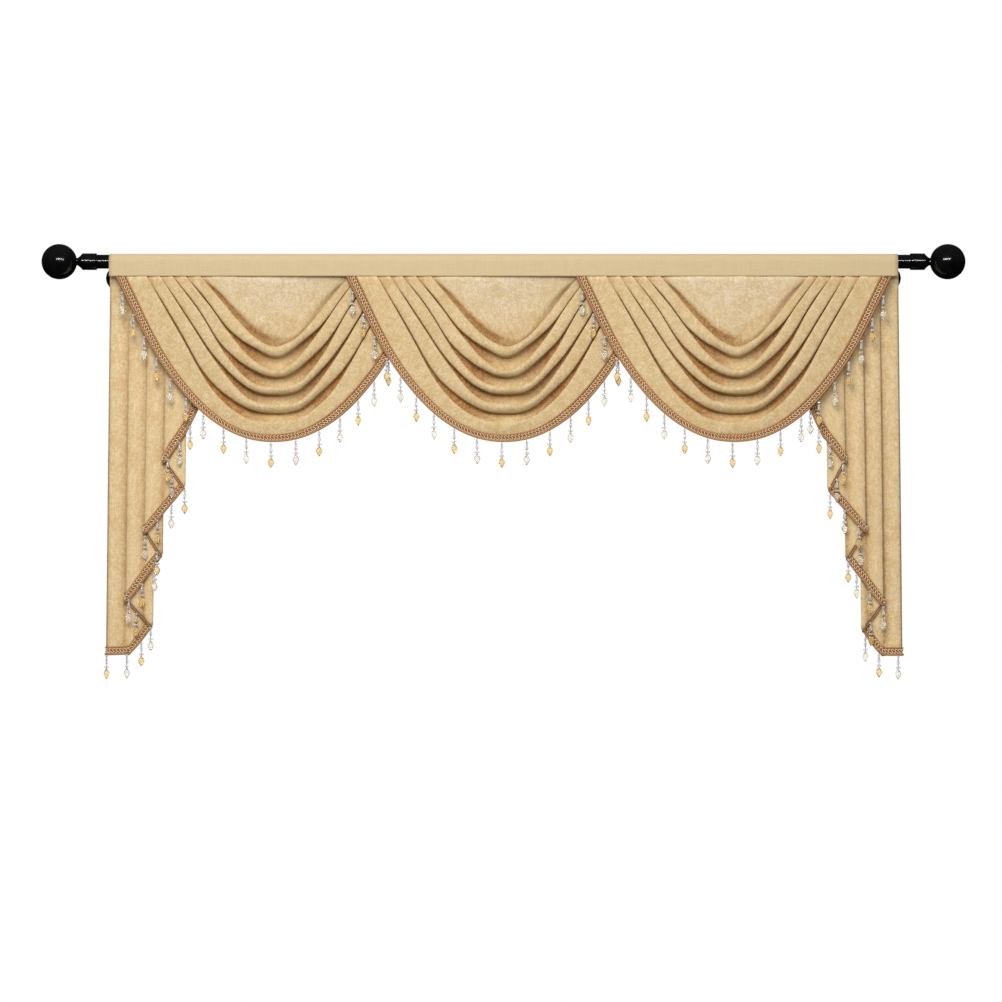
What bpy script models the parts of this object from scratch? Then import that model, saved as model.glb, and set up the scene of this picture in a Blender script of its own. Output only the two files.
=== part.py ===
"""A swag window valance on its curtain rod: a sleeve heading, three overlapping swags, two folded side
tails (jabots), bead-tasselled braids, and a rod with ball finials on two wall brackets.

Metres, +Z up. The wall is the plane Y = 0 and the room lies towards -Y. The origin is on the wall, at the
middle of the window, level with the centres of the wall plates.
"""

import math

import bmesh
import bpy
from mathutils import Vector

MM = 0.001

# Rod, finials and brackets
ROD_RADIUS = 13.25 * MM
ROD_OUT = 85.0 * MM
ROD_UP = 25.7 * MM
ROD_HALF = 771.0 * MM
FIT_GAP = 0.3 * MM
COLLAR_RADIUS = 15.8 * MM
COLLAR_LENGTH = 27.0 * MM
WAIST_RADIUS = 7.3 * MM
WAIST_START = 36.0 * MM
BALL_RADIUS = 33.5 * MM
BALL_CENTRE = 71.2 * MM
BRACKET_X = 739.8 * MM
PLATE_RADIUS = 24.4 * MM
PLATE_THICK = 6.0 * MM
ARM_RADIUS = 4.5 * MM
CUP_THICK = 3.5 * MM
CUP_WIDTH = 12.0 * MM
CUP_FROM = -20.0
CUP_TO = 125.0
ARM_MEETS_CUP = 2.5 * MM
ARM_STEPS = 7
ARM_LEVEL_UNTIL = 0.15
ARM_RISE_OVER = 0.77

# Cloth
CLOTH = 1.1 * MM
FACES_BACK_TO_BACK = 0.3
SHARPEST_MITRE = 0.62
BRAID = 1.2 * MM
BRAID_GAP = 0.8 * MM
TUCK = 8.0 * MM
SEAM_DOWN = 28.2 * MM
HEADING_HALF = 746.7 * MM
HEADING_SLACK = 0.4 * MM
SEAM_Z = ROD_UP - SEAM_DOWN
SEAM_Y = -ROD_OUT - ROD_RADIUS - HEADING_SLACK + FIT_GAP + CLOTH / 2

# The sleeve's back: its open ends, where the brackets reach the rod, and its seam, which lies further back
# where the jabots hang inside it
BACK_HALF = 728.0 * MM
BACK_CUT_ANGLE = 60.0
BACK_BEND = -6.0 * MM
JABOT_ZONE_FROM = 545.0 * MM
JABOT_ZONE_FULL = 575.0 * MM
BACK_SEAM_AT_JABOTS = 6.4 * MM
BACK_SEAM_AT_SWAGS = 2.5 * MM
HEADING_ANGLE_STEP = 20

# Swags: middle, and how far the left and right shoulders lie behind the front one
SWAGS = (
    # name, middle, left_back, right_back
    ("swag_left", -436.0 * MM, 0.0, 8.5 * MM),
    ("swag_middle", 0.0, 0.0, 8.5 * MM),
    ("swag_right", 435.0 * MM, 0.0, 0.0),
)

# Each line runs from shoulder to shoulder. The shares are how much of the drop is left at a quarter, a
# half and three quarters of the way out, and forward is how far the line swells into the room.
SWAG_LINES = (
    # low_x, left, right, drop, quarter, half, three_quarters, forward, in mm
    (5.7, 143.9, 137.8, 134.0, 0.889, 0.635, 0.312, 12.0),
    (5.1, 171.7, 156.4, 177.8, 0.892, 0.628, 0.298, 18.0),
    (7.2, 199.0, 179.6, 209.4, 0.948, 0.694, 0.314, 22.0),
    (7.4, 222.4, 204.8, 242.3, 0.952, 0.696, 0.354, 25.0),
    (-0.2, 240.0, 240.4, 280.0, 0.953, 0.748, 0.375, 24.0),
    (-1.9, 276.0, 280.5, 299.5, 0.949, 0.771, 0.465, 22.0),
    (1.9, 299.9, 297.4, 313.1, 0.948, 0.778, 0.466, 20.0),
)
PLEATS = 5
BRAID_LINE = 6
HEM_LINE = 7
PANEL_TOP_SHARE = 0.8

# One pleat of a swag from its lip down to the next lip's back. Down counts in pleats and depth in mm
# towards the wall, where the pleats are pressed shut in the seam, where they lie side by side, and where
# they hang open.
PLEAT_POINTS = (
    # name, down_shut, depth_shut, down_side, depth_side, down_open, depth_open
    ("lip back", 0.02, 1.65, 0.03, 4.2, 0.06, 4.4),
    ("lip front", 0.0, 0.0, 0.0, 0.0, 0.0, 0.0),
    ("belly", 0.45, 1.44, 0.4, -0.6, 0.17, -4.6),
    ("under", 0.88, 2.82, 0.83, 1.4, 0.38, 1.2),
    ("recess", 1.0, 3.2, 0.93, 8.5, 0.47, 19.0),
    ("trough back", 1.35, 4.32, 1.3, 9.8, 1.24, 15.5),
    ("trough front", 1.35, 2.72, 1.3, 6.6, 1.24, 9.0),
)
PANEL_POINTS = (
    # name, down_shut, depth_shut, down_side, depth_side, down_open, depth_open
    ("top edge", 0.0, 0.0, 0.0, 0.0, 0.0, 0.0),
    ("below seam", 0.15, 0.48, 0.12, 0.2, 0.09, 0.2),
    ("middle", 0.5, 1.6, 0.5, 0.6, 0.5, 1.5),
    ("above recess", 0.85, 2.7, 0.78, 1.6, 0.84, 3.0),
    ("recess", 1.0, 3.1, 0.93, 8.0, 0.95, 12.0),
    ("trough back", 1.35, 4.32, 1.3, 9.8, 1.27, 14.5),
    ("trough front", 1.35, 2.72, 1.3, 6.6, 1.27, 8.5),
)
# The lowest pleat fades out in the middle, so its trough rises above its lip there.
FADED_TROUGH_DOWN = {"trough back": 0.72, "trough front": 0.84}
FADED_TROUGH_DEPTH = {"trough back": 12.0, "trough front": 7.0}
LAST_LIP_POINTS = (
    # name, down_shut, depth_shut, down_side, depth_side, down_open, depth_open
    ("lip back", 0.02, 1.65, 0.02, 4.2, -0.07, 2.6),
    ("lip front", 0.0, 0.0, 0.0, 0.0, 0.0, 0.8),
    ("hem panel", 0.5, 0.6, 0.5, 0.0, 0.5, 0.2),
)
PANEL_RECESS_AT_RIGHT = 0.3
SEAM_BLEND = 0.2
OPEN_LEFT = 0.64
OPEN_RIGHT = 0.72
OPEN_BLEND = 0.46
SHOULDER_OUT = 4.0 * MM
SWAG_COLUMNS = (0.0, 0.13, 0.26, 0.4, 0.56, 0.77, 0.91, 1.0)
BACK_LEAN = 0.7
BACK_LEAN_OVER = 55.0 * MM

# Jabots: places where the cloth bends along its lower edge, from the outer edge inwards. Out is measured
# from the outer edge, drop from the seam, and fold says that the cloth turns back on itself there.
JABOT_LEFT = (
    # out, drop, fold
    (0.0, 715.0, False),
    (44.9, 713.7, False),
    (89.5, 662.8, True),
    (37.4, 613.3, True),
    (107.4, 526.8, True),
    (73.0, 482.3, True),
    (149.8, 397.3, True),
    (108.7, 347.8, True),
    (151.6, 286.5, False),
    (186.1, 212.6, False),
)
JABOT_RIGHT = (
    # out, drop, fold
    (0.0, 716.0, False),
    (39.7, 716.0, False),
    (78.4, 670.3, True),
    (36.2, 620.3, True),
    (108.0, 533.3, True),
    (69.3, 480.3, True),
    (141.8, 402.3, True),
    (107.3, 348.1, True),
    (150.9, 293.3, False),
    (186.6, 208.6, False),
)
JABOTS = (
    # name, side, outer, first_tassel, tassel_pitch, points
    ("jabot_left", -1, 746.9 * MM, 1.5 * MM, 38.8 * MM, JABOT_LEFT),
    ("jabot_right", 1, 749.8 * MM, 9.0 * MM, 39.5 * MM, JABOT_RIGHT),
)
JABOT_FLARE = 12.0 * MM
JABOT_FLARE_POWER = 0.85
JABOT_BACK = 7.0 * MM
JABOT_LEAN = 7.0 * MM
JABOT_LEAN_OVER = 50.0 * MM
LAYER_PITCH_TOP = 1.8 * MM
LAYER_PITCH_MORE = 5.2 * MM
LAYER_PITCH_POWER = 0.8
JABOT_DROP = 717.0 * MM
JABOT_LAYERS = 6
JABOT_ROWS = (0.0, 0.2, 0.45, 0.72, 1.0)

# Braid and tassels
BRAID_WIDTH = 15.5 * MM
BRAID_PAST_HEM = 1.0 * MM
JABOT_BRAID_PAST_HEM = 5.4 * MM
TASSEL_LENGTH = 47.5 * MM
TASSEL_ROOT = 3.0 * MM
TASSEL_ROOT_TO_BEND = 2.4 * MM
TASSEL_LEAN_SHARE = 0.8
TASSEL_RINGS = (
    # share_of_length, half_width, half_depth, in mm
    (0.3, 1.4, 1.4),
    (0.78, 5.2, 4.6),
    (1.0, 0.7, 0.7),
)
SWAG_TASSELS = 19
SWAG_TASSEL_FIRST = 28.7 * MM
SWAG_TASSEL_PITCH = 47.1 * MM
JABOT_TASSELS = 17
TASSEL_FORWARD = 3.4 * MM
HIDDEN_TASSEL_BACK = 4.6 * MM
HIDDEN_FROM = 0.72
BRAID_ENDS_AT = 0.997

METAL_SIDES = 16


def clear_scene():
    for obj in list(bpy.data.objects):
        bpy.data.objects.remove(obj)


def material(name, colour, roughness, metallic):
    made = bpy.data.materials.new(name)
    made.use_nodes = True
    shader = made.node_tree.nodes["Principled BSDF"]
    shader.inputs["Base Color"].default_value = (*colour, 1.0)
    shader.inputs["Roughness"].default_value = roughness
    shader.inputs["Metallic"].default_value = metallic
    return made


def mesh_object(name, points, faces, finish):
    mesh = bpy.data.meshes.new(name)
    mesh.from_pydata([tuple(point) for point in points], [], faces)
    mesh.update()
    mesh.materials.append(finish)
    obj = bpy.data.objects.new(name, mesh)
    bpy.context.scene.collection.objects.link(obj)
    return obj


def smooth(share):
    share = min(max(share, 0.0), 1.0)
    return share * share * (3.0 - 2.0 * share)


def mix(low, high, share):
    return low + (high - low) * share


# Turned pieces


def turned(name, profile, place, axis, finish):
    """Turns (along, radius) pairs about an axis through place. The first and last points close the ends."""
    along = Vector(axis).normalized()
    side = along.orthogonal().normalized()
    other = along.cross(side)
    points = []
    rings = []
    for distance, radius in profile:
        centre = Vector(place) + along * distance
        if radius == 0.0:
            rings.append([len(points)])
            points.append(centre)
            continue
        rings.append(list(range(len(points), len(points) + METAL_SIDES)))
        for step in range(METAL_SIDES):
            turn = 2.0 * math.pi * step / METAL_SIDES
            points.append(centre + (side * math.cos(turn) + other * math.sin(turn)) * radius)
    faces = []
    for first, second in zip(rings, rings[1:]):
        for step in range(METAL_SIDES):
            after = (step + 1) % METAL_SIDES
            if len(first) == 1:
                faces.append((first[0], second[after], second[step]))
            elif len(second) == 1:
                faces.append((first[step], first[after], second[0]))
            else:
                faces.append((first[step], first[after], second[after], second[step]))
    obj = mesh_object(name, points, faces, finish)
    obj.data.shade_smooth()
    obj.data.set_sharp_from_angle(angle=math.radians(35.0))
    return obj


def rod(finish):
    profile = [(0.0, 0.0), (0.0, ROD_RADIUS), (2.0 * ROD_HALF, ROD_RADIUS), (2.0 * ROD_HALF, 0.0)]
    turned("rod", profile, (-ROD_HALF, -ROD_OUT, ROD_UP), (1, 0, 0), finish)


def finial(name, side, finish):
    """A collar that tapers to a waist, and a ball on it."""
    bevel = 1.2 * MM
    profile = [
        (0.0, 0.0),
        (0.0, COLLAR_RADIUS - bevel),
        (bevel, COLLAR_RADIUS),
        (COLLAR_LENGTH, COLLAR_RADIUS),
        (WAIST_START, WAIST_RADIUS),
    ]
    start = math.pi - math.asin(WAIST_RADIUS / BALL_RADIUS)
    steps = 9
    for step in range(steps):
        turn = start * (1.0 - step / steps)
        profile.append((BALL_CENTRE + BALL_RADIUS * math.cos(turn), BALL_RADIUS * math.sin(turn)))
    profile.append((BALL_CENTRE + BALL_RADIUS, 0.0))
    place = (side * (ROD_HALF + FIT_GAP), -ROD_OUT, ROD_UP)
    turned(name, profile, place, (side, 0, 0), finish)


def swept_bar(name, path, radius, finish):
    """A round bar along a path that lies in one plane of constant X."""
    sides = 10
    points = []
    for step, place in enumerate(path):
        before = path[max(step - 1, 0)]
        after = path[min(step + 1, len(path) - 1)]
        along = (after - before).normalized()
        across = Vector((1, 0, 0))
        up = across.cross(along)
        for turn in range(sides):
            angle = 2.0 * math.pi * (turn + 0.5) / sides
            points.append(place + (across * math.cos(angle) + up * math.sin(angle)) * radius)
    faces = [tuple(range(sides))[::-1]]
    for step in range(len(path) - 1):
        for turn in range(sides):
            after = (turn + 1) % sides
            low = step * sides
            faces.append((low + turn, low + after, low + sides + after, low + sides + turn))
    faces.append(tuple(range(len(points) - sides, len(points))))
    made = mesh_object(name, points, faces, finish)
    outward(made.data)
    return made


def cup(name, centre_x, finish):
    """The strap that the rod lies in, open towards the room and the top."""
    inner = ROD_RADIUS + FIT_GAP
    outer = inner + CUP_THICK
    steps = 9
    points = []
    for half in (-0.5, 0.5):
        for radius in (inner, outer):
            for step in range(steps + 1):
                turn = math.radians(mix(CUP_FROM, CUP_TO, step / steps))
                place_y = -ROD_OUT + radius * math.cos(turn)
                points.append((centre_x + half * CUP_WIDTH, place_y, ROD_UP - radius * math.sin(turn)))
    row = steps + 1
    faces = []
    for step in range(steps):
        faces.append((step, step + 1, row + step + 1, row + step))
        faces.append((2 * row + step + 1, 2 * row + step, 3 * row + step, 3 * row + step + 1))
        faces.append((step + 1, step, 2 * row + step, 2 * row + step + 1))
        faces.append((row + step, row + step + 1, 3 * row + step + 1, 3 * row + step))
    for end, flip in ((0, 1), (steps, -1)):
        faces.append((end, row + end, 3 * row + end, 2 * row + end)[::flip])
    made = mesh_object(name, points, faces, finish)
    outward(made.data)
    return made


def outward(mesh):
    work = bmesh.new()
    work.from_mesh(mesh)
    bmesh.ops.recalc_face_normals(work, faces=work.faces)
    work.to_mesh(mesh)
    work.free()


def join_to(obj, other):
    """Adds another closed shape to this object, and hides the other as a helper."""
    other.hide_render = True
    other.display_type = "WIRE"
    union = obj.modifiers.new("join " + other.name, "BOOLEAN")
    union.operation = "UNION"
    union.object = other


def bracket(name, side, finish):
    """A round wall plate, an arm that rises to the rod, and the cup at its end."""
    centre_x = side * BRACKET_X
    bevel = 1.5 * MM
    profile = [
        (0.0, 0.0),
        (0.0, PLATE_RADIUS),
        (PLATE_THICK - bevel, PLATE_RADIUS),
        (PLATE_THICK, PLATE_RADIUS - bevel),
        (PLATE_THICK, 0.0),
    ]
    plate = turned(name, profile, (centre_x, 0, 0), (0, -1, 0), finish)
    start = PLATE_THICK / 2
    reach = ROD_OUT - ROD_RADIUS - FIT_GAP - CUP_THICK / 2
    rise = ROD_UP - ARM_MEETS_CUP
    path = []
    for step in range(ARM_STEPS + 1):
        share = step / ARM_STEPS
        climb = rise * smooth((share - ARM_LEVEL_UNTIL) / ARM_RISE_OVER)
        path.append(Vector((centre_x, -mix(start, reach, share), climb)))
    arm = swept_bar(name + "_arm", path, ARM_RADIUS, finish)
    join_to(plate, arm)
    join_to(plate, cup(name + "_cup", centre_x, finish))


# Sheets of cloth


def slab(name, front, back, finish, present=None):
    """One closed sheet between two grids of points, rows by columns, leaving out cells not present."""
    rows = len(front)
    columns = len(front[0])
    points = [point for row in front for point in row] + [point for row in back for point in row]
    half = rows * columns

    def there(row, column):
        inside = 0 <= row < rows - 1 and 0 <= column < columns - 1
        return inside and (present is None or present(row, column))

    faces = []
    for row in range(rows - 1):
        for column in range(columns - 1):
            if not there(row, column):
                continue
            a = row * columns + column
            b = a + 1
            c = a + columns
            d = c + 1
            faces.append((a, c, d, b))
            faces.append((half + a, half + b, half + d, half + c))
            if not there(row - 1, column):
                faces.append((a, b, half + b, half + a))
            if not there(row + 1, column):
                faces.append((d, c, half + c, half + d))
            if not there(row, column - 1):
                faces.append((c, a, half + a, half + c))
            if not there(row, column + 1):
                faces.append((b, d, half + d, half + b))
    obj = mesh_object(name, points, faces, finish)
    loose = bmesh.new()
    loose.from_mesh(obj.data)
    bmesh.ops.delete(loose, geom=[v for v in loose.verts if not v.link_faces], context="VERTS")
    loose.to_mesh(obj.data)
    loose.free()
    return obj


def mitred(before, after):
    """The direction between two faces' normals, lengthened so that both keep their thickness."""
    total = before + after
    if total.length < FACES_BACK_TO_BACK:
        return before
    direction = total.normalized()
    return direction / max(direction.dot(before), SHARPEST_MITRE)


def heading(finish):
    """A sleeve over the rod: up the front, over the top and down the back to the seam."""
    radius = ROD_RADIUS + HEADING_SLACK + CLOTH / 2
    angles = list(range(180, -1, -HEADING_ANGLE_STEP))
    half_columns = [JABOT_ZONE_FROM, JABOT_ZONE_FULL, BACK_HALF, HEADING_HALF]
    columns = [-half for half in half_columns[::-1]] + half_columns

    def section(place_x):
        at_jabots = abs(place_x) >= JABOT_ZONE_FULL
        back_seam = BACK_SEAM_AT_JABOTS if at_jabots else BACK_SEAM_AT_SWAGS
        flat = [(-radius, -SEAM_DOWN), (-radius, -0.5 * SEAM_DOWN)]
        for angle in angles:
            turn = math.radians(angle)
            flat.append((radius * math.cos(turn), radius * math.sin(turn)))
        flat.append((radius, BACK_BEND))
        flat.append((back_seam, -SEAM_DOWN))
        return [Vector((place_x, -ROD_OUT + y, ROD_UP + z)) for y, z in flat]

    outer = []
    inner = []
    sections = [section(place_x) for place_x in columns]
    along_x = Vector((1, 0, 0))
    for row in range(len(sections[0])):
        outer_row = []
        inner_row = []
        for points in sections:
            steps = []
            if row > 0:
                steps.append(points[row] - points[row - 1])
            if row < len(points) - 1:
                steps.append(points[row + 1] - points[row])
            normals = [along_x.cross(step).normalized() for step in steps]
            push = mitred(normals[0], normals[-1]) * (CLOTH / 2)
            outer_row.append(points[row] + push)
            inner_row.append(points[row] - push)
        outer.append(outer_row)
        inner.append(inner_row)
    first_cut_row = 2 + next(i for i, angle in enumerate(angles) if angle <= BACK_CUT_ANGLE)
    last = len(columns) - 2

    def present(row, column):
        return not (column in (0, last) and row >= first_cut_row)

    made = slab("heading", outer, inner, finish, present)
    outward(made.data)


# Swags


def line_height(row, share):
    """The share of a line's drop that is left at this share of the way out, on one smooth curve."""
    knots = (1.0, row[4], row[5], row[6], 0.0)
    step = 0.25
    index = min(int(share / step), 3)
    local = share / step - index

    def slope(knot):
        if knot == 0:
            return 0.0
        if knot == 4:
            return knots[4] - knots[3]
        return (knots[knot + 1] - knots[knot - 1]) / 2.0

    t2 = local * local
    t3 = t2 * local
    return (
        (2 * t3 - 3 * t2 + 1) * knots[index]
        + (t3 - 2 * t2 + local) * slope(index)
        + (3 * t2 - 2 * t3) * knots[index + 1]
        + (t3 - t2) * slope(index + 1)
    )


def line_point(line, across):
    """Where a swag's line, counted from 1, passes: X from the middle, Z from the seam, and its swell."""
    row = SWAG_LINES[line - 1]
    half = row[1] if across < 0 else row[2]
    reach = abs(across)
    swell = row[7] * (1.0 - reach * reach) ** 2
    return Vector((row[0] + across * half, swell, -row[3] * line_height(row, reach))) * MM


def plane_point(down, across):
    """The same for any place between lines. Above line 1 lies the flat panel, from the tucked top edge."""
    if down < 1.0:
        low = line_point(1, across)
        top = Vector((low.x * PANEL_TOP_SHARE, 0.0, TUCK))
        place = top.lerp(low, down)
        place.y = low.y * down * down
        return place
    line = min(int(down), HEM_LINE - 1)
    return line_point(line, across).lerp(line_point(line + 1, across), down - line)


def openness(across):
    edge = OPEN_LEFT if across < 0 else OPEN_RIGHT
    return smooth((edge - abs(across)) / OPEN_BLEND)


def swag_section(across, is_tuck=False):
    """Points (X, depth towards the wall, Z) of the cloth's middle from its top edge down to the hem."""
    opened = openness(across)
    loosened = smooth((1.0 - abs(across)) / SEAM_BLEND)
    rows = []

    def between(shut, side, wide):
        return mix(mix(shut, side, loosened), wide, opened)

    def add(line, down, depth):
        place = plane_point(line + down, across)
        rows.append(Vector((place.x, depth * MM - place.y, place.z)))

    for name, shut, depth_shut, side, depth_side, wide, depth_wide in PANEL_POINTS:
        if name == "recess":
            depth_wide *= mix(1.0, PANEL_RECESS_AT_RIGHT, smooth(across * 2.0 + 0.5))
        add(0, between(shut, side, wide), between(depth_shut, depth_side, depth_wide))
    for pleat in range(1, PLEATS):
        for name, shut, depth_shut, side, depth_side, wide, depth_wide in PLEAT_POINTS:
            if pleat == PLEATS - 1:
                wide = FADED_TROUGH_DOWN.get(name, wide)
                depth_wide = FADED_TROUGH_DEPTH.get(name, depth_wide)
            add(pleat, between(shut, side, wide), between(depth_shut, depth_side, depth_wide))
    for _, shut, depth_shut, side, depth_side, wide, depth_wide in LAST_LIP_POINTS:
        add(PLEATS, between(shut, side, wide), between(depth_shut, depth_side, depth_wide))
    add(BRAID_LINE, 0.0, 0.6)
    add(HEM_LINE, 0.0, 0.6)
    if is_tuck:
        outwards = math.copysign(SHOULDER_OUT, across)
        return [Vector((point.x + outwards, point.y, TUCK)) for point in rows]
    return rows


def swag_place(swag, across, point):
    """A section's point in the room, with the shoulders one behind the other, and more so below the seam."""
    _, middle, left_back, right_back = swag
    back = mix(left_back, right_back, (across + 1.0) / 2.0)
    back *= 1.0 + BACK_LEAN * smooth(-point.z / BACK_LEAN_OVER)
    return Vector((middle + point.x, SEAM_Y + back + point.y, SEAM_Z + point.z))


def section_normals(before, here, after):
    """Pushes towards the right side of the cloth, from a section and its two neighbours."""
    pushes = []
    for row, point in enumerate(here):
        across = (after[row] - before[row]).normalized()
        steps = []
        if row > 0:
            steps.append(point - here[row - 1])
        if row < len(here) - 1:
            steps.append(here[row + 1] - point)
        normals = [step.cross(across).normalized() for step in steps]
        pushes.append(mitred(normals[0], normals[-1]))
    return pushes


def swag(row, finish):
    name = row[0]
    columns = swag_columns()
    sections = [[swag_place(row, across, point) for point in swag_section(across)] for across in columns]
    for end, across in ((0, -1.0), (len(sections), 1.0)):
        tucked = [swag_place(row, across, point) for point in swag_section(across, is_tuck=True)]
        sections.insert(end if end == 0 else len(sections), tucked)
    fronts = []
    backs = []
    last = len(sections) - 1
    for index, here in enumerate(sections):
        before = sections[max(index - 1, 0)]
        after = sections[min(index + 1, last)]
        pushes = section_normals(before, here, after)
        fronts.append([point + push * (CLOTH / 2) for point, push in zip(here, pushes)])
        backs.append([point - push * (CLOTH / 2) for point, push in zip(here, pushes)])
    front = [list(row_points) for row_points in zip(*fronts)]
    back = [list(row_points) for row_points in zip(*backs)]
    slab(name, front, back, finish)


# Braids with their tassels


def tasselled_strip(name, stations, finish):
    """A strip through stations of (inner_front, inner_back, outer_front, outer_back, tassel).

    A tassel, on the first of its two stations, is (root, bead_y): the strip's lower edge between the
    two stations is the root that the strand grows from.
    """
    points = []
    for station in stations:
        points.extend(station[:4])
    faces = [(0, 1, 3, 2)]
    for index in range(len(stations) - 1):
        a = index * 4
        b = a + 4
        faces.append((a, a + 2, b + 2, b))
        faces.append((a + 1, b + 1, b + 3, a + 3))
        faces.append((a, b, b + 1, a + 1))
        tassel = stations[index][4]
        if tassel is None:
            faces.append((a + 2, a + 3, b + 3, b + 2))
            continue
        ring = [a + 2, a + 3, b + 3, b + 2]
        middle = sum((points[corner] for corner in ring), Vector()) / 4.0
        x_sign = math.copysign(1.0, points[b + 2].x - points[a + 2].x)
        y_sign = math.copysign(1.0, points[a + 3].y - points[a + 2].y)
        for share, half_width, half_depth in TASSEL_RINGS:
            centre_y = mix(middle.y, tassel, smooth(share / TASSEL_LEAN_SHARE))
            lower = Vector((middle.x, centre_y, middle.z - TASSEL_LENGTH * share))
            wide = Vector((half_width * x_sign, 0, 0)) * MM
            deep = Vector((0, half_depth * y_sign, 0)) * MM
            new = [len(points) + corner for corner in range(4)]
            points.extend([lower - wide - deep, lower - wide + deep, lower + wide + deep, lower + wide - deep])
            for corner in range(4):
                after = (corner + 1) % 4
                faces.append((ring[corner], new[corner], new[after], ring[after]))
            ring = new
        faces.append(tuple(ring))
    a = (len(stations) - 1) * 4
    faces.append((a, a + 2, a + 3, a + 1))
    made = mesh_object(name, points, faces, finish)
    outward(made.data)
    return made


def even_places(lengths, first, pitch, count):
    """Indices and shares of the places that lie at even distances along a run of measured steps."""
    places = []
    for number in range(count):
        wanted = first + number * pitch
        for index, length in enumerate(lengths):
            if wanted <= length:
                places.append((index, wanted / length))
                break
            wanted -= length
    return places


def swag_columns():
    return [-share for share in SWAG_COLUMNS[:0:-1]] + list(SWAG_COLUMNS)


def hem_panel(row, across):
    """The braid's inner and outer edge on the swag's own flat faces, and the way along them."""
    columns = swag_columns()
    index = max(i for i, column in enumerate(columns[:-1]) if column <= across)
    share = (across - columns[index]) / (columns[index + 1] - columns[index])
    ends = []
    for column in columns[index : index + 2]:
        section = swag_section(column)
        ends.append([swag_place(row, column, point) for point in section[-2:]])
    inner = ends[0][0].lerp(ends[1][0], share)
    outer = ends[0][1].lerp(ends[1][1], share)
    return inner, outer, ends[1][1] - ends[0][1]


def swag_trim(row, finish):
    fine = 120
    hem = [line_point(HEM_LINE, mix(-1.0, 1.0, step / fine)) for step in range(fine + 1)]
    lengths = [(after - before).length for before, after in zip(hem, hem[1:])]
    places = even_places(lengths, SWAG_TASSEL_FIRST, SWAG_TASSEL_PITCH, SWAG_TASSELS)
    shares = [(-1.0 + 2.0 * (index + share) / fine) for index, share in places]
    half_root = TASSEL_ROOT / sum(lengths)
    stations = [(-BRAID_ENDS_AT, None)]
    for across in shares:
        hidden = row[3] > 0.0 and across > HIDDEN_FROM
        lean = HIDDEN_TASSEL_BACK if hidden else -TASSEL_FORWARD
        stations.append((across - half_root, lean))
        stations.append((across + half_root, None))
    stations.append((BRAID_ENDS_AT, None))
    made = []
    for across, lean in stations:
        inner, outer, along = hem_panel(row, across)
        normal = (outer - inner).cross(along).normalized()
        outer += (outer - inner).normalized() * BRAID_PAST_HEM
        near = normal * (CLOTH / 2 + BRAID_GAP)
        far = normal * (CLOTH / 2 + BRAID_GAP + BRAID)
        bead_y = None if lean is None else outer.y + lean
        made.append((inner + far, inner + near, outer + far, outer + near, bead_y))
    tasselled_strip(row[0] + "_braid", made, finish)


# Jabots


def layer_depth(layer, drop):
    """How far a layer of the jabot, counted from the outer one at the back, hangs behind the swags."""
    share = min(max(drop / JABOT_DROP, 0.0), 1.0)
    pitch = LAYER_PITCH_TOP + LAYER_PITCH_MORE * share**LAYER_PITCH_POWER
    return JABOT_BACK + JABOT_LEAN * smooth(drop / JABOT_LEAN_OVER) + (JABOT_LAYERS - layer) * pitch


def jabot_columns(points, between):
    """(out, drop of the hem, layer) for every column, with extra ones between bends and two at a fold."""
    columns = []
    layer = 0
    for index, (out, drop, fold) in enumerate(points):
        columns.append((out * MM, drop * MM, layer))
        if fold:
            layer += 1
            columns.append((out * MM, drop * MM, layer))
        if index == len(points) - 1:
            break
        next_out, next_drop, _ = points[index + 1]
        for step in range(1, between + 1):
            share = step / (between + 1)
            columns.append((mix(out, next_out, share) * MM, mix(drop, next_drop, share) * MM, layer))
    return columns


def jabot_point(side, outer, column, drop):
    """A point of the jabot's cloth at a height below the seam, with the tail a little wider at its foot."""
    out, _, layer = column
    flare = JABOT_FLARE * (max(drop, 0.0) / JABOT_DROP) ** JABOT_FLARE_POWER
    return Vector((side * (outer + flare - out), SEAM_Y + layer_depth(layer, drop), SEAM_Z - drop))


def side_pushes(side, line):
    """Pushes towards the right side of the cloth for one level line of points across the jabot."""
    down = Vector((0, 0, -1))
    pushes = []
    for index, point in enumerate(line):
        steps = []
        if index > 0:
            steps.append(point - line[index - 1])
        if index < len(line) - 1:
            steps.append(line[index + 1] - point)
        normals = []
        for step in steps:
            level = Vector((step.x, step.y, 0.0))
            normals.append(down.cross(level).normalized() * -side)
        pushes.append(mitred(normals[0], normals[-1]))
    return pushes


def jabot(row, finish):
    name, side, outer, _, _, points = row
    columns = jabot_columns(points, 0)
    front = []
    back = []
    heights = [lambda column: -TUCK]
    heights += [lambda column, share=share: column[1] * share for share in JABOT_ROWS]
    for height in heights:
        line = [jabot_point(side, outer, column, height(column)) for column in columns]
        pushes = side_pushes(side, line)
        front.append([point + push * (CLOTH / 2) for point, push in zip(line, pushes)])
        back.append([point - push * (CLOTH / 2) for point, push in zip(line, pushes)])
    made = slab(name, front, back, finish)
    outward(made.data)


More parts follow.
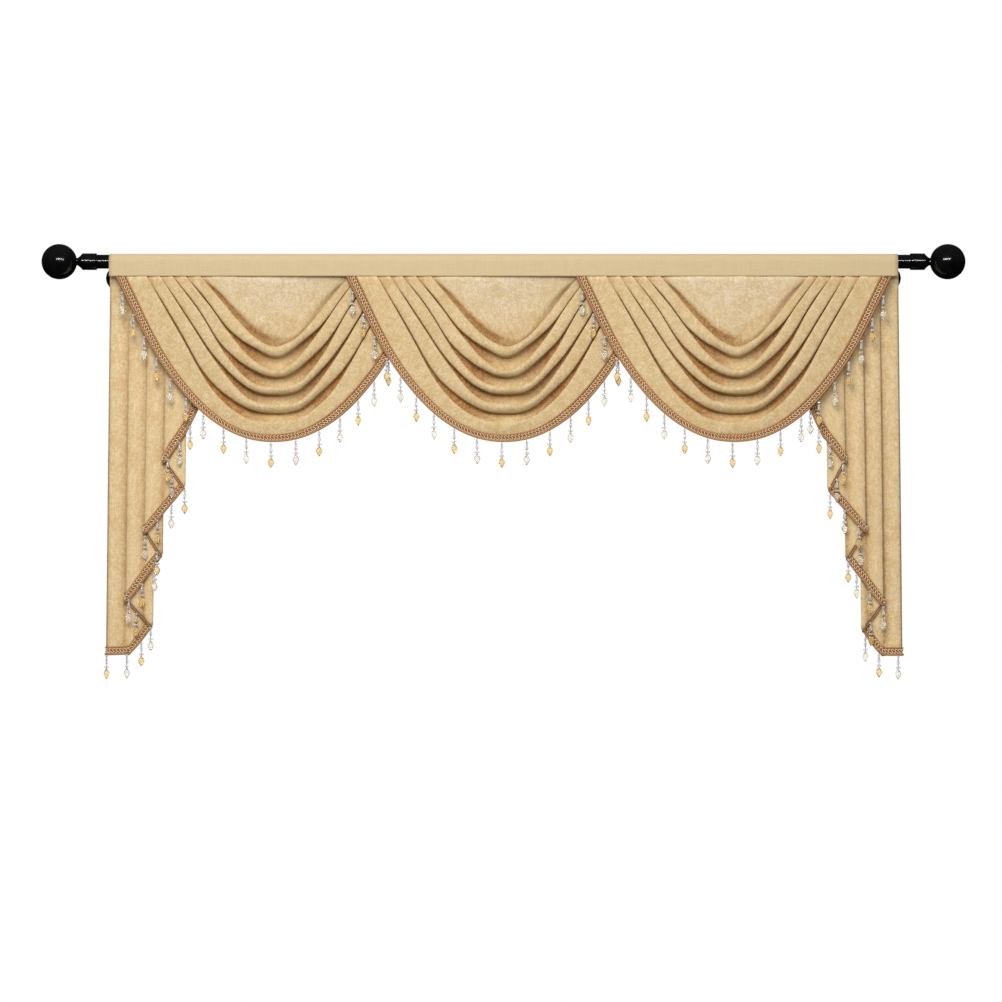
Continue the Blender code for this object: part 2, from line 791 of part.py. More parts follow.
def jabot_trim(row, finish):
    """The braid along the jabot's lower edge, through every fold, with its tassels."""
    name, side, outer, first, pitch, points = row
    bends = jabot_columns(points, 0)
    lengths = []
    for here, after in zip(bends, bends[1:]):
        same_layer = here[2] == after[2]
        lengths.append(math.hypot(after[0] - here[0], after[1] - here[1]) if same_layer else 0.0)
    places = even_places(lengths, first, pitch, JABOT_TASSELS)
    slopes = []
    for here, after, length in zip(bends, bends[1:], lengths):
        slopes.append(abs(after[1] - here[1]) / max(abs(after[0] - here[0]), 1.0 * MM) if length else None)
    stations = []
    for index, bend in enumerate(bends):
        near_slopes = [slope for slope in slopes[max(index - 1, 0) : index + 1] if slope is not None]
        stations.append((bend, sum(near_slopes) / len(near_slopes), None))
        for place_index, share in places:
            if place_index != index:
                continue
            after = bends[index + 1]
            half_root = TASSEL_ROOT / 2 / lengths[index]
            clear = TASSEL_ROOT_TO_BEND / lengths[index]
            share = min(max(share, half_root + clear), 1.0 - half_root - clear)
            for end, has_tassel in ((share - half_root, True), (share + half_root, None)):
                between = (mix(bend[0], after[0], end), mix(bend[1], after[1], end), bend[2])
                stations.append((between, slopes[index], has_tassel))
    made = []
    inner_line = []
    outer_line = []
    for column, slope, _ in stations:
        steeper = math.sqrt(1.0 + slope * slope)
        band = (BRAID_WIDTH + BRAID_PAST_HEM - JABOT_BRAID_PAST_HEM) * steeper
        inner_line.append(jabot_point(side, outer, column, column[1] - band))
        outer_line.append(jabot_point(side, outer, column, column[1] + JABOT_BRAID_PAST_HEM * steeper))
    pushes = [side_pushes(side, line) for line in (inner_line, outer_line)]
    near = CLOTH / 2 + BRAID_GAP
    far = near + BRAID
    for index, (column, _, has_tassel) in enumerate(stations):
        top = inner_line[index]
        foot = outer_line[index]
        bead_y = foot.y - TASSEL_FORWARD if has_tassel else None
        corners = []
        for place, push in ((top, pushes[0][index]), (foot, pushes[1][index])):
            corners.append(place + push * far)
            corners.append(place + push * near)
        made.append((*corners, bead_y))
    tasselled_strip(name + "_braid", made, finish)


def main():
    clear_scene()
    black = material("black rod", (0.012, 0.011, 0.011), 0.38, 0.6)
    jacquard = material("beige jacquard", (0.56, 0.42, 0.27), 0.72, 0.0)
    copper = material("copper braid", (0.36, 0.17, 0.07), 0.6, 0.0)
    rod(black)
    for word, side in (("left", -1), ("right", 1)):
        finial("finial_" + word, side, black)
        bracket("bracket_" + word, side, black)
    heading(jacquard)
    for row in SWAGS:
        swag(row, jacquard)
        swag_trim(row, copper)
    for row in JABOTS:
        jabot(row, jacquard)
        jabot_trim(row, copper)


main()
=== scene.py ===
"""Looks of a swag window valance on its curtain rod.

A sleeve heading, three overlapping swags and two folded side tails (jabots) in a beige-gold jacquard, with
a copper and cream braid and bead tassels along the hems. The cloth repeats the part's own places, with
more columns and rows, so that its folds are round. Metres, +Z up, with the wall at Y = 0.
"""

import math
import random

import bmesh
import bpy
import numpy as np
from mathutils import Matrix, Vector

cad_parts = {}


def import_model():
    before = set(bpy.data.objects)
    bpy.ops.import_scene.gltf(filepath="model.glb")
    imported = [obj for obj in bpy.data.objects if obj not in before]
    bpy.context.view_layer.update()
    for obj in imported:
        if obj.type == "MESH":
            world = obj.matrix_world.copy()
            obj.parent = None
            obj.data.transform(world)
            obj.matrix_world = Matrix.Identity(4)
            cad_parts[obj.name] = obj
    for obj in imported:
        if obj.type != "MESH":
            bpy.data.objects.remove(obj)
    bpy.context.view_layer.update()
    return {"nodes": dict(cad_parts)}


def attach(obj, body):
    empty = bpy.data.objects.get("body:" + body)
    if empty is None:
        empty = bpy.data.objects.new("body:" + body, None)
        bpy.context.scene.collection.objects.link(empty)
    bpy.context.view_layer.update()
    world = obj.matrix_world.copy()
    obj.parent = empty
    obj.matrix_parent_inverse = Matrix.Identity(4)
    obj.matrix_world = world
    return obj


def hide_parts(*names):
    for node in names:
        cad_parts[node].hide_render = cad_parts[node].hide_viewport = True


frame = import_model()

MM = 0.001

# Rod and finials
ROD_RADIUS = 13.25 * MM
ROD_OUT = 85.0 * MM
ROD_UP = 25.7 * MM
ROD_HALF = 771.0 * MM
ROD_EDGE = 0.8 * MM
FIT_GAP = 0.3 * MM
COLLAR_LENGTH = 27.0 * MM
COLLAR_RADIUS = 15.8 * MM
GROOVE_AT = 21.0 * MM
COLLAR_PROFILE = (
    # along, in: the collar's rounded rim and its groove
    (0.0, 1.2 * MM),
    (0.4 * MM, 0.4 * MM),
    (1.2 * MM, 0.0),
    (GROOVE_AT, 0.0),
    (GROOVE_AT + 0.5 * MM, 0.7 * MM),
    (GROOVE_AT + 1.3 * MM, 0.7 * MM),
    (GROOVE_AT + 1.8 * MM, 0.0),
    (COLLAR_LENGTH, 0.0),
)
WAIST_RADIUS = 7.3 * MM
WAIST_START = 36.0 * MM
WAIST_STEPS = 8
WAIST_POWER = 0.8
BALL_RADIUS = 33.5 * MM
BALL_CENTRE = 71.2 * MM
BALL_STEPS = 30
TURNED_SIDES = 56
SHARP_FROM = 32.0

# Cloth, and the heading's sleeve round the rod
CLOTH = 1.1 * MM
SHEET = 0.9 * MM
TUCK = 8.0 * MM
SEAM_DOWN = 28.2 * MM
HEADING_HALF = 746.7 * MM
HEADING_SLACK = 0.4 * MM
SEAM_Z = ROD_UP - SEAM_DOWN
SEAM_Y = -ROD_OUT - ROD_RADIUS - HEADING_SLACK + FIT_GAP + CLOTH / 2
BACK_HALF = 728.0 * MM
BACK_CUT_ANGLE = 60
JABOT_ZONE_FROM = 545.0 * MM
JABOT_ZONE_FULL = 575.0 * MM
BACK_SEAM_AT_JABOTS = 6.4 * MM
BACK_SEAM_AT_SWAGS = 2.5 * MM
HEADING_COLUMNS = 147
HEADING_END = 9.0 * MM
HEADING_FRONT_STEPS = 12
HEADING_BACK_STEPS = 8
HEADING_TURN = 10
HEADING_WAVES = ((0.5, 9), (0.3, 17), (0.8, 29))
HEADING_RIPPLE = 0.12 * MM
RIPPLE_BEND = 0.8
RIPPLE_BEND_RATE = 0.37
UV_SHIFT_PER_SEED = 1.7
HEADING_UV_SHIFT = 0.37

# Swags, with the shoulders one behind the other
SWAGS = (
    # name, middle, left_back, right_back
    ("swag_left", -436.0 * MM, 0.0, 8.5 * MM),
    ("swag_middle", 0.0, 0.0, 8.5 * MM),
    ("swag_right", 435.0 * MM, 0.0, 0.0),
)
SWAG_LINES = (
    # low_x, left, right, drop, quarter, half, three_quarters, forward, in mm
    (5.7, 143.9, 137.8, 134.0, 0.889, 0.635, 0.312, 12.0),
    (5.1, 171.7, 156.4, 177.8, 0.892, 0.628, 0.298, 18.0),
    (7.2, 199.0, 179.6, 209.4, 0.948, 0.694, 0.314, 22.0),
    (7.4, 222.4, 204.8, 242.3, 0.952, 0.696, 0.354, 25.0),
    (-0.2, 240.0, 240.4, 280.0, 0.953, 0.748, 0.375, 24.0),
    (-1.9, 276.0, 280.5, 299.5, 0.949, 0.771, 0.465, 22.0),
    (1.9, 299.9, 297.4, 313.1, 0.948, 0.778, 0.466, 20.0),
)
PLEATS = 5
BRAID_LINE = 6
HEM_LINE = 7
PANEL_TOP_SHARE = 0.8
# One pleat from its lip down to the next lip's back. Down counts in pleats and depth in mm towards the
# wall, where the pleats are pressed in the seam, where they lie side by side, and where they hang open.
PLEAT_POINTS = (
    # name, down_shut, depth_shut, down_side, depth_side, down_open, depth_open
    ("lip back", 0.02, 1.65, 0.03, 4.2, 0.06, 4.4),
    ("lip front", 0.0, 0.0, 0.0, 0.0, 0.0, 0.0),
    ("belly", 0.45, 1.44, 0.4, -0.6, 0.17, -4.6),
    ("under", 0.88, 2.82, 0.83, 1.4, 0.38, 1.2),
    ("recess", 1.0, 3.2, 0.93, 8.5, 0.47, 19.0),
    ("trough back", 1.35, 4.32, 1.3, 9.8, 1.24, 15.5),
    ("trough front", 1.35, 2.72, 1.3, 6.6, 1.24, 9.0),
)
PANEL_POINTS = (
    # name, down_shut, depth_shut, down_side, depth_side, down_open, depth_open
    ("top edge", 0.0, 0.0, 0.0, 0.0, 0.0, 0.0),
    ("below seam", 0.15, 0.48, 0.12, 0.2, 0.09, 0.2),
    ("middle", 0.5, 1.6, 0.5, 0.6, 0.5, 1.5),
    ("above recess", 0.85, 2.7, 0.78, 1.6, 0.84, 3.0),
    ("recess", 1.0, 3.1, 0.93, 8.0, 0.95, 12.0),
    ("trough back", 1.35, 4.32, 1.3, 9.8, 1.27, 14.5),
    ("trough front", 1.35, 2.72, 1.3, 6.6, 1.27, 8.5),
)
PANEL_RECESS_AT_RIGHT = 0.3
FADED_TROUGH_DOWN = {"trough back": 0.72, "trough front": 0.84}
FADED_TROUGH_DEPTH = {"trough back": 12.0, "trough front": 7.0}
LAST_LIP_POINTS = (
    # name, down_shut, depth_shut, down_side, depth_side, down_open, depth_open
    ("lip back", 0.02, 1.65, 0.02, 4.2, -0.07, 2.6),
    ("lip front", 0.0, 0.0, 0.0, 0.0, 0.0, 0.8),
    ("hem panel", 0.5, 0.6, 0.5, 0.0, 0.5, 0.2),
)
HEM_DEPTH = 0.6
SEAM_BLEND = 0.2
OPEN_LEFT = 0.64
OPEN_RIGHT = 0.72
OPEN_BLEND = 0.46
SHOULDER_OUT = 4.0 * MM
BACK_LEAN = 0.7
BACK_LEAN_OVER = 55.0 * MM
SWAG_COLUMNS = 141
SWAG_CROWDED = 0.35
SWAG_STEPS = 5
SWAG_SOFT = (((1.5, 2.0), (3.0, 3.5), (5.0, 1.3)), 0.9 * MM)
SWAG_CRUMPLE = (((9.0, 7.0), (13.0, 4.0), (6.0, 11.0)), 0.35 * MM)

# Painted shade that makes a swag's cloth darker and warmer in its folds and beside its panel's lowest lip,
# painted light that lifts it in the middle of its troughs and just under the seam, and where it is paler on
# its panel
PAINTED_SHADE_FROM = 1.4 * MM
PAINTED_SHADE_OVER = 3.4 * MM
PAINTED_LIGHT_MIDDLE = 0.06
PAINTED_LIGHT_HALF = 0.42
PANEL_FADE = 2.0
PANEL_PAINTED_SHADE_SHARE = 0.8
PANEL_PAINTED_SHADE_AT_RIGHT = 0.25
PANEL_PALE_ROWS = 18
PANEL_PALE_START = 1.12
SEAM_PAINTED_LIGHT_OVER = 9.0 * MM

# Jabots: the places where the cloth bends along its lower edge, from the outer edge inwards
JABOT_LEFT = (
    # out, drop, fold, in mm
    (0.0, 715.0, False),
    (44.9, 713.7, False),
    (89.5, 662.8, True),
    (37.4, 613.3, True),
    (107.4, 526.8, True),
    (73.0, 482.3, True),
    (149.8, 397.3, True),
    (108.7, 347.8, True),
    (151.6, 286.5, False),
    (186.1, 212.6, False),
)
JABOT_RIGHT = (
    # out, drop, fold, in mm
    (0.0, 716.0, False),
    (39.7, 716.0, False),
    (78.4, 670.3, True),
    (36.2, 620.3, True),
    (108.0, 533.3, True),
    (69.3, 480.3, True),
    (141.8, 402.3, True),
    (107.3, 348.1, True),
    (150.9, 293.3, False),
    (186.6, 208.6, False),
)
JABOTS = (
    # name, side, outer, first_tassel, tassel_pitch, points
    ("jabot_left", -1, 746.9 * MM, 1.5 * MM, 38.8 * MM, JABOT_LEFT),
    ("jabot_right", 1, 749.8 * MM, 9.0 * MM, 39.5 * MM, JABOT_RIGHT),
)
JABOT_FLARE = 12.0 * MM
JABOT_FLARE_POWER = 0.85
JABOT_BACK = 7.0 * MM
JABOT_LEAN = 7.0 * MM
JABOT_LEAN_OVER = 50.0 * MM
JABOT_DROP = 717.0 * MM
JABOT_LAYERS = 6
LAYER_PITCH_TOP = 1.8 * MM
LAYER_PITCH_MORE = 5.2 * MM
LAYER_PITCH_POWER = 0.8
JABOT_ROWS = 64
JABOT_RUN_STEPS = 9
JABOT_TURN_STEPS = 6
PLEAT_SWELL = 4.2 * MM
PLEAT_SWELL_POWER = 0.55
PLEAT_SWELL_OVER = 60.0 * MM
PLEAT_SWELL_AT_TOP = 0.55
PLEAT_SHADE_POWER = 2.2
INNER_PLEAT_END = 196.0 * MM
JABOT_WAVES = ((1.3, 0.6), (2.1, 0.0), (3.7, 0.9))
JABOT_RIPPLE = 0.8 * MM
JABOT_LOOSE_OVER = 300.0 * MM

# Braid: a woven base, a twisted cord on each edge, and a chain of cream loops between them
BRAID_WIDTH = 15.5 * MM
BRAID_PAST_HEM = 1.0 * MM
JABOT_BRAID_PAST_HEM = 5.4 * MM
STEEPEST_HEM = 2.5
LEAST_RUN = 0.4
BRAID_GAP = 0.5 * MM
BRAID_THICK = 0.8 * MM
BRAID_NEAR = CLOTH / 2 + BRAID_GAP
BRAID_FAR = BRAID_NEAR + BRAID_THICK
BRAID_ENDS_AT = 0.9985
CORDS = (
    # name, share of the way out, radius, lift, strands, twist length, finish
    ("outer_cord", 0.86, 2.1 * MM, 0.8 * MM, 3.0, 9.0 * MM, "copper"),
    ("inner_cord", 0.08, 1.3 * MM, 0.6 * MM, 2.0, 6.0 * MM, "brown"),
)
STRAND_DEPTH = 0.12
STEPS_PER_TWIST = 8
CORD_SIDES = 8
LOOP_PITCH = 6.6 * MM
LOOP_RADIUS = 0.85 * MM
LOOP_SIDES = 4
LOOP_LIFT = 0.7 * MM
LOOP_WAVE_TURN = 1.3
DROP_SIDES = 8
BEAD_SIDES = 7
PIN_SIDES = 5
LOOP_WAVE = 0.35 * MM
LOOP_AT = 0.46
LOOP_LINE = (
    # along, across, in mm: one cream loop, a lazy S that hooks into the next
    (-3.3, -1.6),
    (-2.4, -3.5),
    (-0.2, -3.9),
    (1.3, -2.4),
    (0.7, -0.4),
    (-0.7, 1.2),
    (-1.0, 3.0),
    (0.6, 4.1),
    (2.6, 3.7),
    (3.4, 2.0),
)

# Tassels, each hanging down from its strand's root at 0, with its rings as z and radius in mm
DROP_RINGS = ((-27.8, 1.1), (-30.4, 3.1), (-34.8, 5.7), (-38.0, 5.7), (-43.6, 3.0), (-47.5, 0.0))
DROP_MIDDLE = -36.6 * MM
DROP_CLEAR_HALF = 7.0 * MM
SEED_BEADS = (
    ((-1.0, 0.9), (-1.9, 2.3), (-3.6, 2.8), (-5.3, 2.3), (-6.1, 0.9)),
    ((-6.5, 1.3), (-9.0, 1.9), (-14.0, 2.7), (-17.0, 3.0), (-18.6, 1.4)),
    ((-22.2, 1.8), (-23.0, 4.0), (-24.4, 4.7), (-25.8, 4.0), (-26.6, 1.8)),
)
PIN_RINGS = ((2.6, 0.5), (-29.0, 0.5))
SWAG_TASSELS = 19
SWAG_TASSEL_FIRST = 28.7 * MM
SWAG_TASSEL_PITCH = 47.1 * MM
SWAG_TASSEL_LOWER = 2.2 * MM
HEM_STEPS = 120
JABOT_TASSELS = 17
ROOT_ABOVE_BRAID_EDGE = 2.2 * MM
TASSEL_FORWARD = 3.4 * MM
HIDDEN_TASSEL_BACK = 4.6 * MM
HIDDEN_FROM = 0.72

# Studio
CAMERA_PLACE = (-0.0047, -6.098, -0.4282)
CAMERA_LENS = 113.9
LIGHTS = (
    # name, shape, place, size, power, seen in reflections
    ("key", "DISK", (-0.7, -3.4, 1.9), (1.9, 1.9), 95.0, False),
    ("strip", "RECTANGLE", (0.0, -3.4, 0.85), (3.0, 0.06), 48.0, True),
)
LIGHTS_AIM = Vector((0.0, -0.1, -0.25))
WORLD_LOW = 0.04
WORLD_HIGH = 0.66
WORLD_CUT_IN_REFLECTIONS = 0.93
FLOOR_RADIUS = 3.2
FLOOR_Z = -2.1
FLOOR_SIDES = 64


def smooth(share):
    """A soft step from 0 to 1, for a number or an array."""
    share = np.clip(share, 0.0, 1.0)
    return share * share * (3.0 - 2.0 * share)


def mix(low, high, share):
    return low + (high - low) * share


def curve(start, start_slope, end, end_slope, t):
    """A smooth curve's place at t from 0 to 1, from its two ends and their slopes."""
    t2 = t * t
    t3 = t2 * t
    ends = (2 * t3 - 3 * t2 + 1) * start + (3 * t2 - 2 * t3) * end
    return ends + (t3 - 2 * t2 + t) * start_slope + (t3 - t2) * end_slope


# Pieces


def linked(name, data):
    obj = bpy.data.objects.new(name, data)
    bpy.context.scene.collection.objects.link(obj)
    return obj


def mesh_piece(name, points, faces, finish=None, uv=None, marks=None, is_smooth=True):
    """A closed mesh at the origin, its faces turned outwards.

    uv holds one pair for each point, and each of the marks one value from 0 to 1, kept as an attribute.
    """
    mesh = bpy.data.meshes.new(name)
    mesh.from_pydata([tuple(point) for point in points], [], faces)
    if finish is not None:
        mesh.materials.append(finish)
    if uv is not None:
        corner_points = np.empty(len(mesh.loops), np.int32)
        mesh.loops.foreach_get("vertex_index", corner_points)
        corners = np.asarray(uv, np.float32)[corner_points]
        mesh.uv_layers.new(name="cloth").data.foreach_set("uv", corners.ravel())
    for label, values in (marks or {}).items():
        mesh.attributes.new(label, "FLOAT", "POINT").data.foreach_set("value", values)
    if is_smooth:
        mesh.shade_smooth()
    work = bmesh.new()
    work.from_mesh(mesh)
    unused = [point for point in work.verts if not point.link_faces]
    bmesh.ops.delete(work, geom=unused, context="VERTS")
    bmesh.ops.recalc_face_normals(work, faces=work.faces)
    work.to_mesh(mesh)
    work.free()
    return linked(name, mesh)


def dressed(piece, replaced=None):
    """Fixes a piece to the part's one body and the CAD solid that it stands for."""
    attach(piece, "root")
    if replaced is not None:
        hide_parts(replaced)


def unit(rows):
    return rows / np.maximum(np.linalg.norm(rows, axis=-1, keepdims=True), 1e-9)


def grid_normals(grid):
    """Unit normals of a grid of points, rows down and columns across."""
    return unit(np.cross(np.gradient(grid, axis=0), np.gradient(grid, axis=1)))


def grid_lengths(grid):
    """Each point's distance along its row and along its column, in metres."""
    u = np.zeros(grid.shape[:2])
    v = np.zeros(grid.shape[:2])
    u[:, 1:] = np.cumsum(np.linalg.norm(np.diff(grid, axis=1), axis=2), axis=1)
    v[1:, :] = np.cumsum(np.linalg.norm(np.diff(grid, axis=0), axis=2), axis=0)
    return u, v


def sheet_area(grid):
    """The area of the cloth's middle surface."""
    first = np.cross(grid[1:, :-1] - grid[:-1, :-1], grid[:-1, 1:] - grid[:-1, :-1])
    second = np.cross(grid[:-1, 1:] - grid[1:, 1:], grid[1:, :-1] - grid[1:, 1:])
    return (np.linalg.norm(first, axis=2).sum() + np.linalg.norm(second, axis=2).sum()) / 2


def cloth_piece(name, grid, normals, thickness, finish, uv, present=None, marks=None):
    """One closed sheet of cloth about a grid of points, leaving out cells that are not present."""
    rows, columns = grid.shape[:2]
    front = (grid + normals * thickness / 2).reshape(-1, 3)
    back = (grid - normals * thickness / 2).reshape(-1, 3)
    half = rows * columns

    def there(row, column):
        inside = 0 <= row < rows - 1 and 0 <= column < columns - 1
        return inside and (present is None or present(row, column))

    faces = []
    for row in range(rows - 1):
        for column in range(columns - 1):
            if not there(row, column):
                continue
            a = row * columns + column
            b = a + 1
            c = a + columns
            d = c + 1
            faces.append((a, c, d, b))
            faces.append((half + a, half + b, half + d, half + c))
            for next_row, next_column, start, end in (
                (row - 1, column, a, b),
                (row + 1, column, d, c),
                (row, column - 1, c, a),
                (row, column + 1, b, d),
            ):
                if not there(next_row, next_column):
                    faces.append((start, end, half + end, half + start))
    flat_uv = np.stack([part.ravel() for part in uv], axis=1)
    uv_rows = np.concatenate([flat_uv, flat_uv])
    sides = {}
    for label, values in (marks or {}).items():
        sides[label] = np.tile(values.ravel(), 2).astype(np.float32)
    return mesh_piece(name, np.concatenate([front, back]), faces, finish, uv_rows, sides)


def smooth_curve(points, steps):
    """More rows on a smooth curve down every column of points, with any values that the points carry."""
    gaps = np.sqrt(np.maximum(np.linalg.norm(np.diff(points[..., :3], axis=0), axis=2), 1e-7))[..., None]
    secants = np.diff(points, axis=0) / gaps
    inner = (secants[:-1] * gaps[1:] + secants[1:] * gaps[:-1]) / (gaps[:-1] + gaps[1:])
    slopes = np.concatenate([secants[:1], inner, secants[-1:]])
    rows = []
    for index, gap in enumerate(gaps):
        for step in range(steps):
            ends = (points[index], gap * slopes[index], points[index + 1], gap * slopes[index + 1])
            rows.append(curve(*ends, step / steps))
    rows.append(points[-1])
    return np.array(rows)


def ripple(seed, waves, shape):
    """Seeded soft unevenness between about -1 and 1, from waves as (along_rows, along_columns) counts."""
    chance = random.Random(seed)
    rows = np.linspace(0.0, 1.0, shape[0])[:, None]
    columns = np.linspace(0.0, 1.0, shape[1])[None, :]
    total = np.zeros(shape)
    for down, across in waves:
        start = chance.uniform(0.0, math.tau)
        bend = chance.uniform(0.0, math.tau)
        turn = math.tau * (down * rows + across * columns) + start
        total += np.sin(turn + RIPPLE_BEND * np.sin(math.tau * across * RIPPLE_BEND_RATE * columns + bend))
    return total / len(waves)


def lathe(rings, sides):
    """Points and faces of a shape turned about Z, from (z, radius) rings. A radius of 0 is a tip."""
    points = []
    levels = []
    for z, radius in rings:
        corners = sides if radius else 1
        levels.append(list(range(len(points), len(points) + corners)))
        for side in range(corners):
            angle = math.tau * side / sides
            points.append((radius * math.cos(angle), radius * math.sin(angle), z))
    faces = []
    for first, second in zip(levels, levels[1:]):
        for side in range(sides):
            after = (side + 1) % sides
            if len(first) == 1:
                faces.append((first[0], second[side], second[after]))
            elif len(second) == 1:
                faces.append((first[side], second[0], first[after]))
            else:
                faces.append((first[side], second[side], second[after], first[after]))
    faces += [tuple(level) for level in (levels[0], levels[-1][::-1]) if len(level) > 1]
    return points, faces


# Nodes


def fill(tree, node, values):
    """Puts a value or a link on each of a node's inputs that is named or numbered."""
    for key, value in dict(values).items():
        if isinstance(value, bpy.types.NodeSocket):
            tree.links.new(value, node.inputs[key])
        else:
            node.inputs[key].default_value = value


def added(tree, kind, values=(), **settings):
    """A new node's outputs, once it has its settings and then its inputs."""
    node = tree.nodes.new(kind)
    for label, value in settings.items():
        setattr(node, label, value)
    fill(tree, node, values)
    return node.outputs


def new_tree(name, kind, inputs, outputs):
    """A node tree with (label, kind, default) inputs and (label, kind) outputs, and its given values."""
    tree = bpy.data.node_groups.new(name, kind)
    for label, socket_kind, default in inputs:
        socket = tree.interface.new_socket(label, in_out="INPUT", socket_type="NodeSocket" + socket_kind)
        if default is not None:
            socket.default_value = default
    for label, socket_kind in outputs:
        tree.interface.new_socket(label, in_out="OUTPUT", socket_type="NodeSocket" + socket_kind)
    return tree, added(tree, "NodeGroupInput")


def math_node(tree, operation, *values):
    return added(tree, "ShaderNodeMath", enumerate(values), operation=operation)[0]


# Geometry Nodes


def grown_tree(name, sizes):
    inputs = [("Geometry", "Geometry", None)] + [(label, kind, None) for label, kind in sizes]
    return new_tree(name, "GeometryNodeTree", inputs, (("Geometry", "Geometry"),))


def ended(tree, geometry, finish):
    """The last nodes of both trees: real copies, their finish, and the way out."""
    real = added(tree, "GeometryNodeRealizeInstances", {"Geometry": geometry})[0]
    done = added(tree, "GeometryNodeSetMaterial", {"Geometry": real, "Material": finish})[0]
    added(tree, "NodeGroupOutput", {"Geometry": done})
    return tree


def copies_tree():
    """Copies of one shape on points, each turned by its point's angles and a little larger or smaller."""
    sizes = [("Shape", "Object"), ("Smallest", "Float"), ("Largest", "Float")]
    tree, given = grown_tree("copies on points", sizes + [("Seed", "Int"), ("Finish", "Material")])
    shape = added(tree, "GeometryNodeObjectInfo", {"Object": given["Shape"]})["Geometry"]
    named = added(tree, "GeometryNodeInputNamedAttribute", {"Name": "turn"}, data_type="FLOAT_VECTOR")
    limits = {2: given["Smallest"], 3: given["Largest"], "Seed": given["Seed"]}
    size = added(tree, "FunctionNodeRandomValue", limits, data_type="FLOAT")[1]
    values = {"Points": given["Geometry"], "Instance": shape, "Rotation": named["Attribute"], "Scale": size}
    copies = added(tree, "GeometryNodeInstanceOnPoints", values)[0]
    return ended(tree, copies, given["Finish"])


def cord_tree():
    """A twisted cord along a line: a lobed outline, swept along it while it turns."""
    sizes = [(label, "Float") for label in ("Radius", "Strands", "Strand Depth", "Twist Length", "Step")]
    tree, given = grown_tree("twisted cord", sizes + [("Sides", "Int"), ("Finish", "Material")])
    line = added(tree, "GeometryNodeMeshToCurve", {"Mesh": given["Geometry"]})[0]
    spaced = {"Curve": line, "Length": given["Step"]}
    even = added(tree, "GeometryNodeResampleCurve", spaced, mode="LENGTH")[0]
    along = added(tree, "GeometryNodeSplineParameter")["Length"]
    turns = math_node(tree, "DIVIDE", along, given["Twist Length"])
    tilt = math_node(tree, "MULTIPLY", turns, math.tau)
    twisted = added(tree, "GeometryNodeSetCurveTilt", {"Curve": even, "Tilt": tilt})[0]

    outline = {"Resolution": given["Sides"], "Radius": given["Radius"]}
    ring = added(tree, "GeometryNodeCurvePrimitiveCircle", outline)[0]
    around = added(tree, "GeometryNodeSplineParameter")["Factor"]
    lobes = math_node(tree, "MULTIPLY", around, given["Strands"])
    wave = math_node(tree, "COSINE", math_node(tree, "MULTIPLY", lobes, math.tau))
    depth = math_node(tree, "MULTIPLY", wave, given["Strand Depth"])
    place = added(tree, "GeometryNodeInputPosition")[0]
    push = added(tree, "ShaderNodeVectorMath", {0: place, "Scale": depth}, operation="SCALE")["Vector"]
    lobed = added(tree, "GeometryNodeSetPosition", {"Geometry": ring, "Offset": push})[0]

    swept = {"Curve": twisted, "Profile Curve": lobed, "Fill Caps": True}
    cord = added(tree, "GeometryNodeCurveToMesh", swept)[0]
    shaded = added(tree, "GeometryNodeSetShadeSmooth", {"Geometry": cord})[0]
    return ended(tree, shaded, given["Finish"])


def grown(name, source, tree, values):
    """Runs a tree on a source mesh and keeps the result as a plain mesh."""
    holder = linked(name + "_source", source)
    modifier = holder.modifiers.new("grow", "NODES")
    modifier.node_group = tree
    for item in tree.interface.items_tree:
        if item.item_type == "SOCKET" and item.in_out == "INPUT" and item.name in values:
            modifier[item.identifier] = values[item.name]
    bpy.context.view_layer.update()
    graph = bpy.context.evaluated_depsgraph_get()
    mesh = bpy.data.meshes.new_from_object(holder.evaluated_get(graph))
    mesh.name = name
    holder.modifiers.remove(modifier)
    bpy.data.objects.remove(holder)
    mesh.materials.clear()
    mesh.materials.append(values["Finish"])
    return linked(name, mesh)


def bare_mesh(name, places, edges=()):
    mesh = bpy.data.meshes.new(name)
    mesh.from_pydata([tuple(place) for place in places], list(edges), [])
    return mesh


def copies(name, places, turns, shape, tree, finish, smallest=1.0, largest=1.0, seed=0):
    """A shape copied to places, each turned by its own angles, and kept as one mesh."""
    source = bare_mesh(name, places)
    turn = source.attributes.new("turn", "FLOAT_VECTOR", "POINT")
    turn.data.foreach_set("vector", np.asarray(turns, np.float32).ravel())
    values = {"Shape": shape, "Smallest": smallest, "Largest": largest, "Seed": seed, "Finish": finish}
    return grown(name, source, tree, values)


# Finishes


def remap(tree, value, low, high, to_low=0.0, to_high=1.0):
    values = {"Value": value, "From Min": low, "From Max": high, "To Min": to_low, "To Max": to_high}
    return added(tree, "ShaderNodeMapRange", values, interpolation_type="SMOOTHSTEP")[0]


def noise(tree, vector, scale, detail=2.0, roughness=0.5, distortion=0.0):
    values = {"Vector": vector, "Scale": scale, "Detail": detail, "Roughness": roughness}
    return added(tree, "ShaderNodeTexNoise", {**values, "Distortion": distortion})["Fac"]


def scaled_noise(tree, given, times, *shape):
    """Noise in the group's own size, times a share."""
    return noise(tree, given["Vector"], math_node(tree, "MULTIPLY", given["Size"], times), *shape)


def colour_mix(tree, blend, share, first, second):
    first, second = [(*part, 1.0) if isinstance(part, tuple) else part for part in (first, second)]
    values = {0: share, 6: first, 7: second}
    return added(tree, "ShaderNodeMix", values, data_type="RGBA", blend_type=blend)[2]


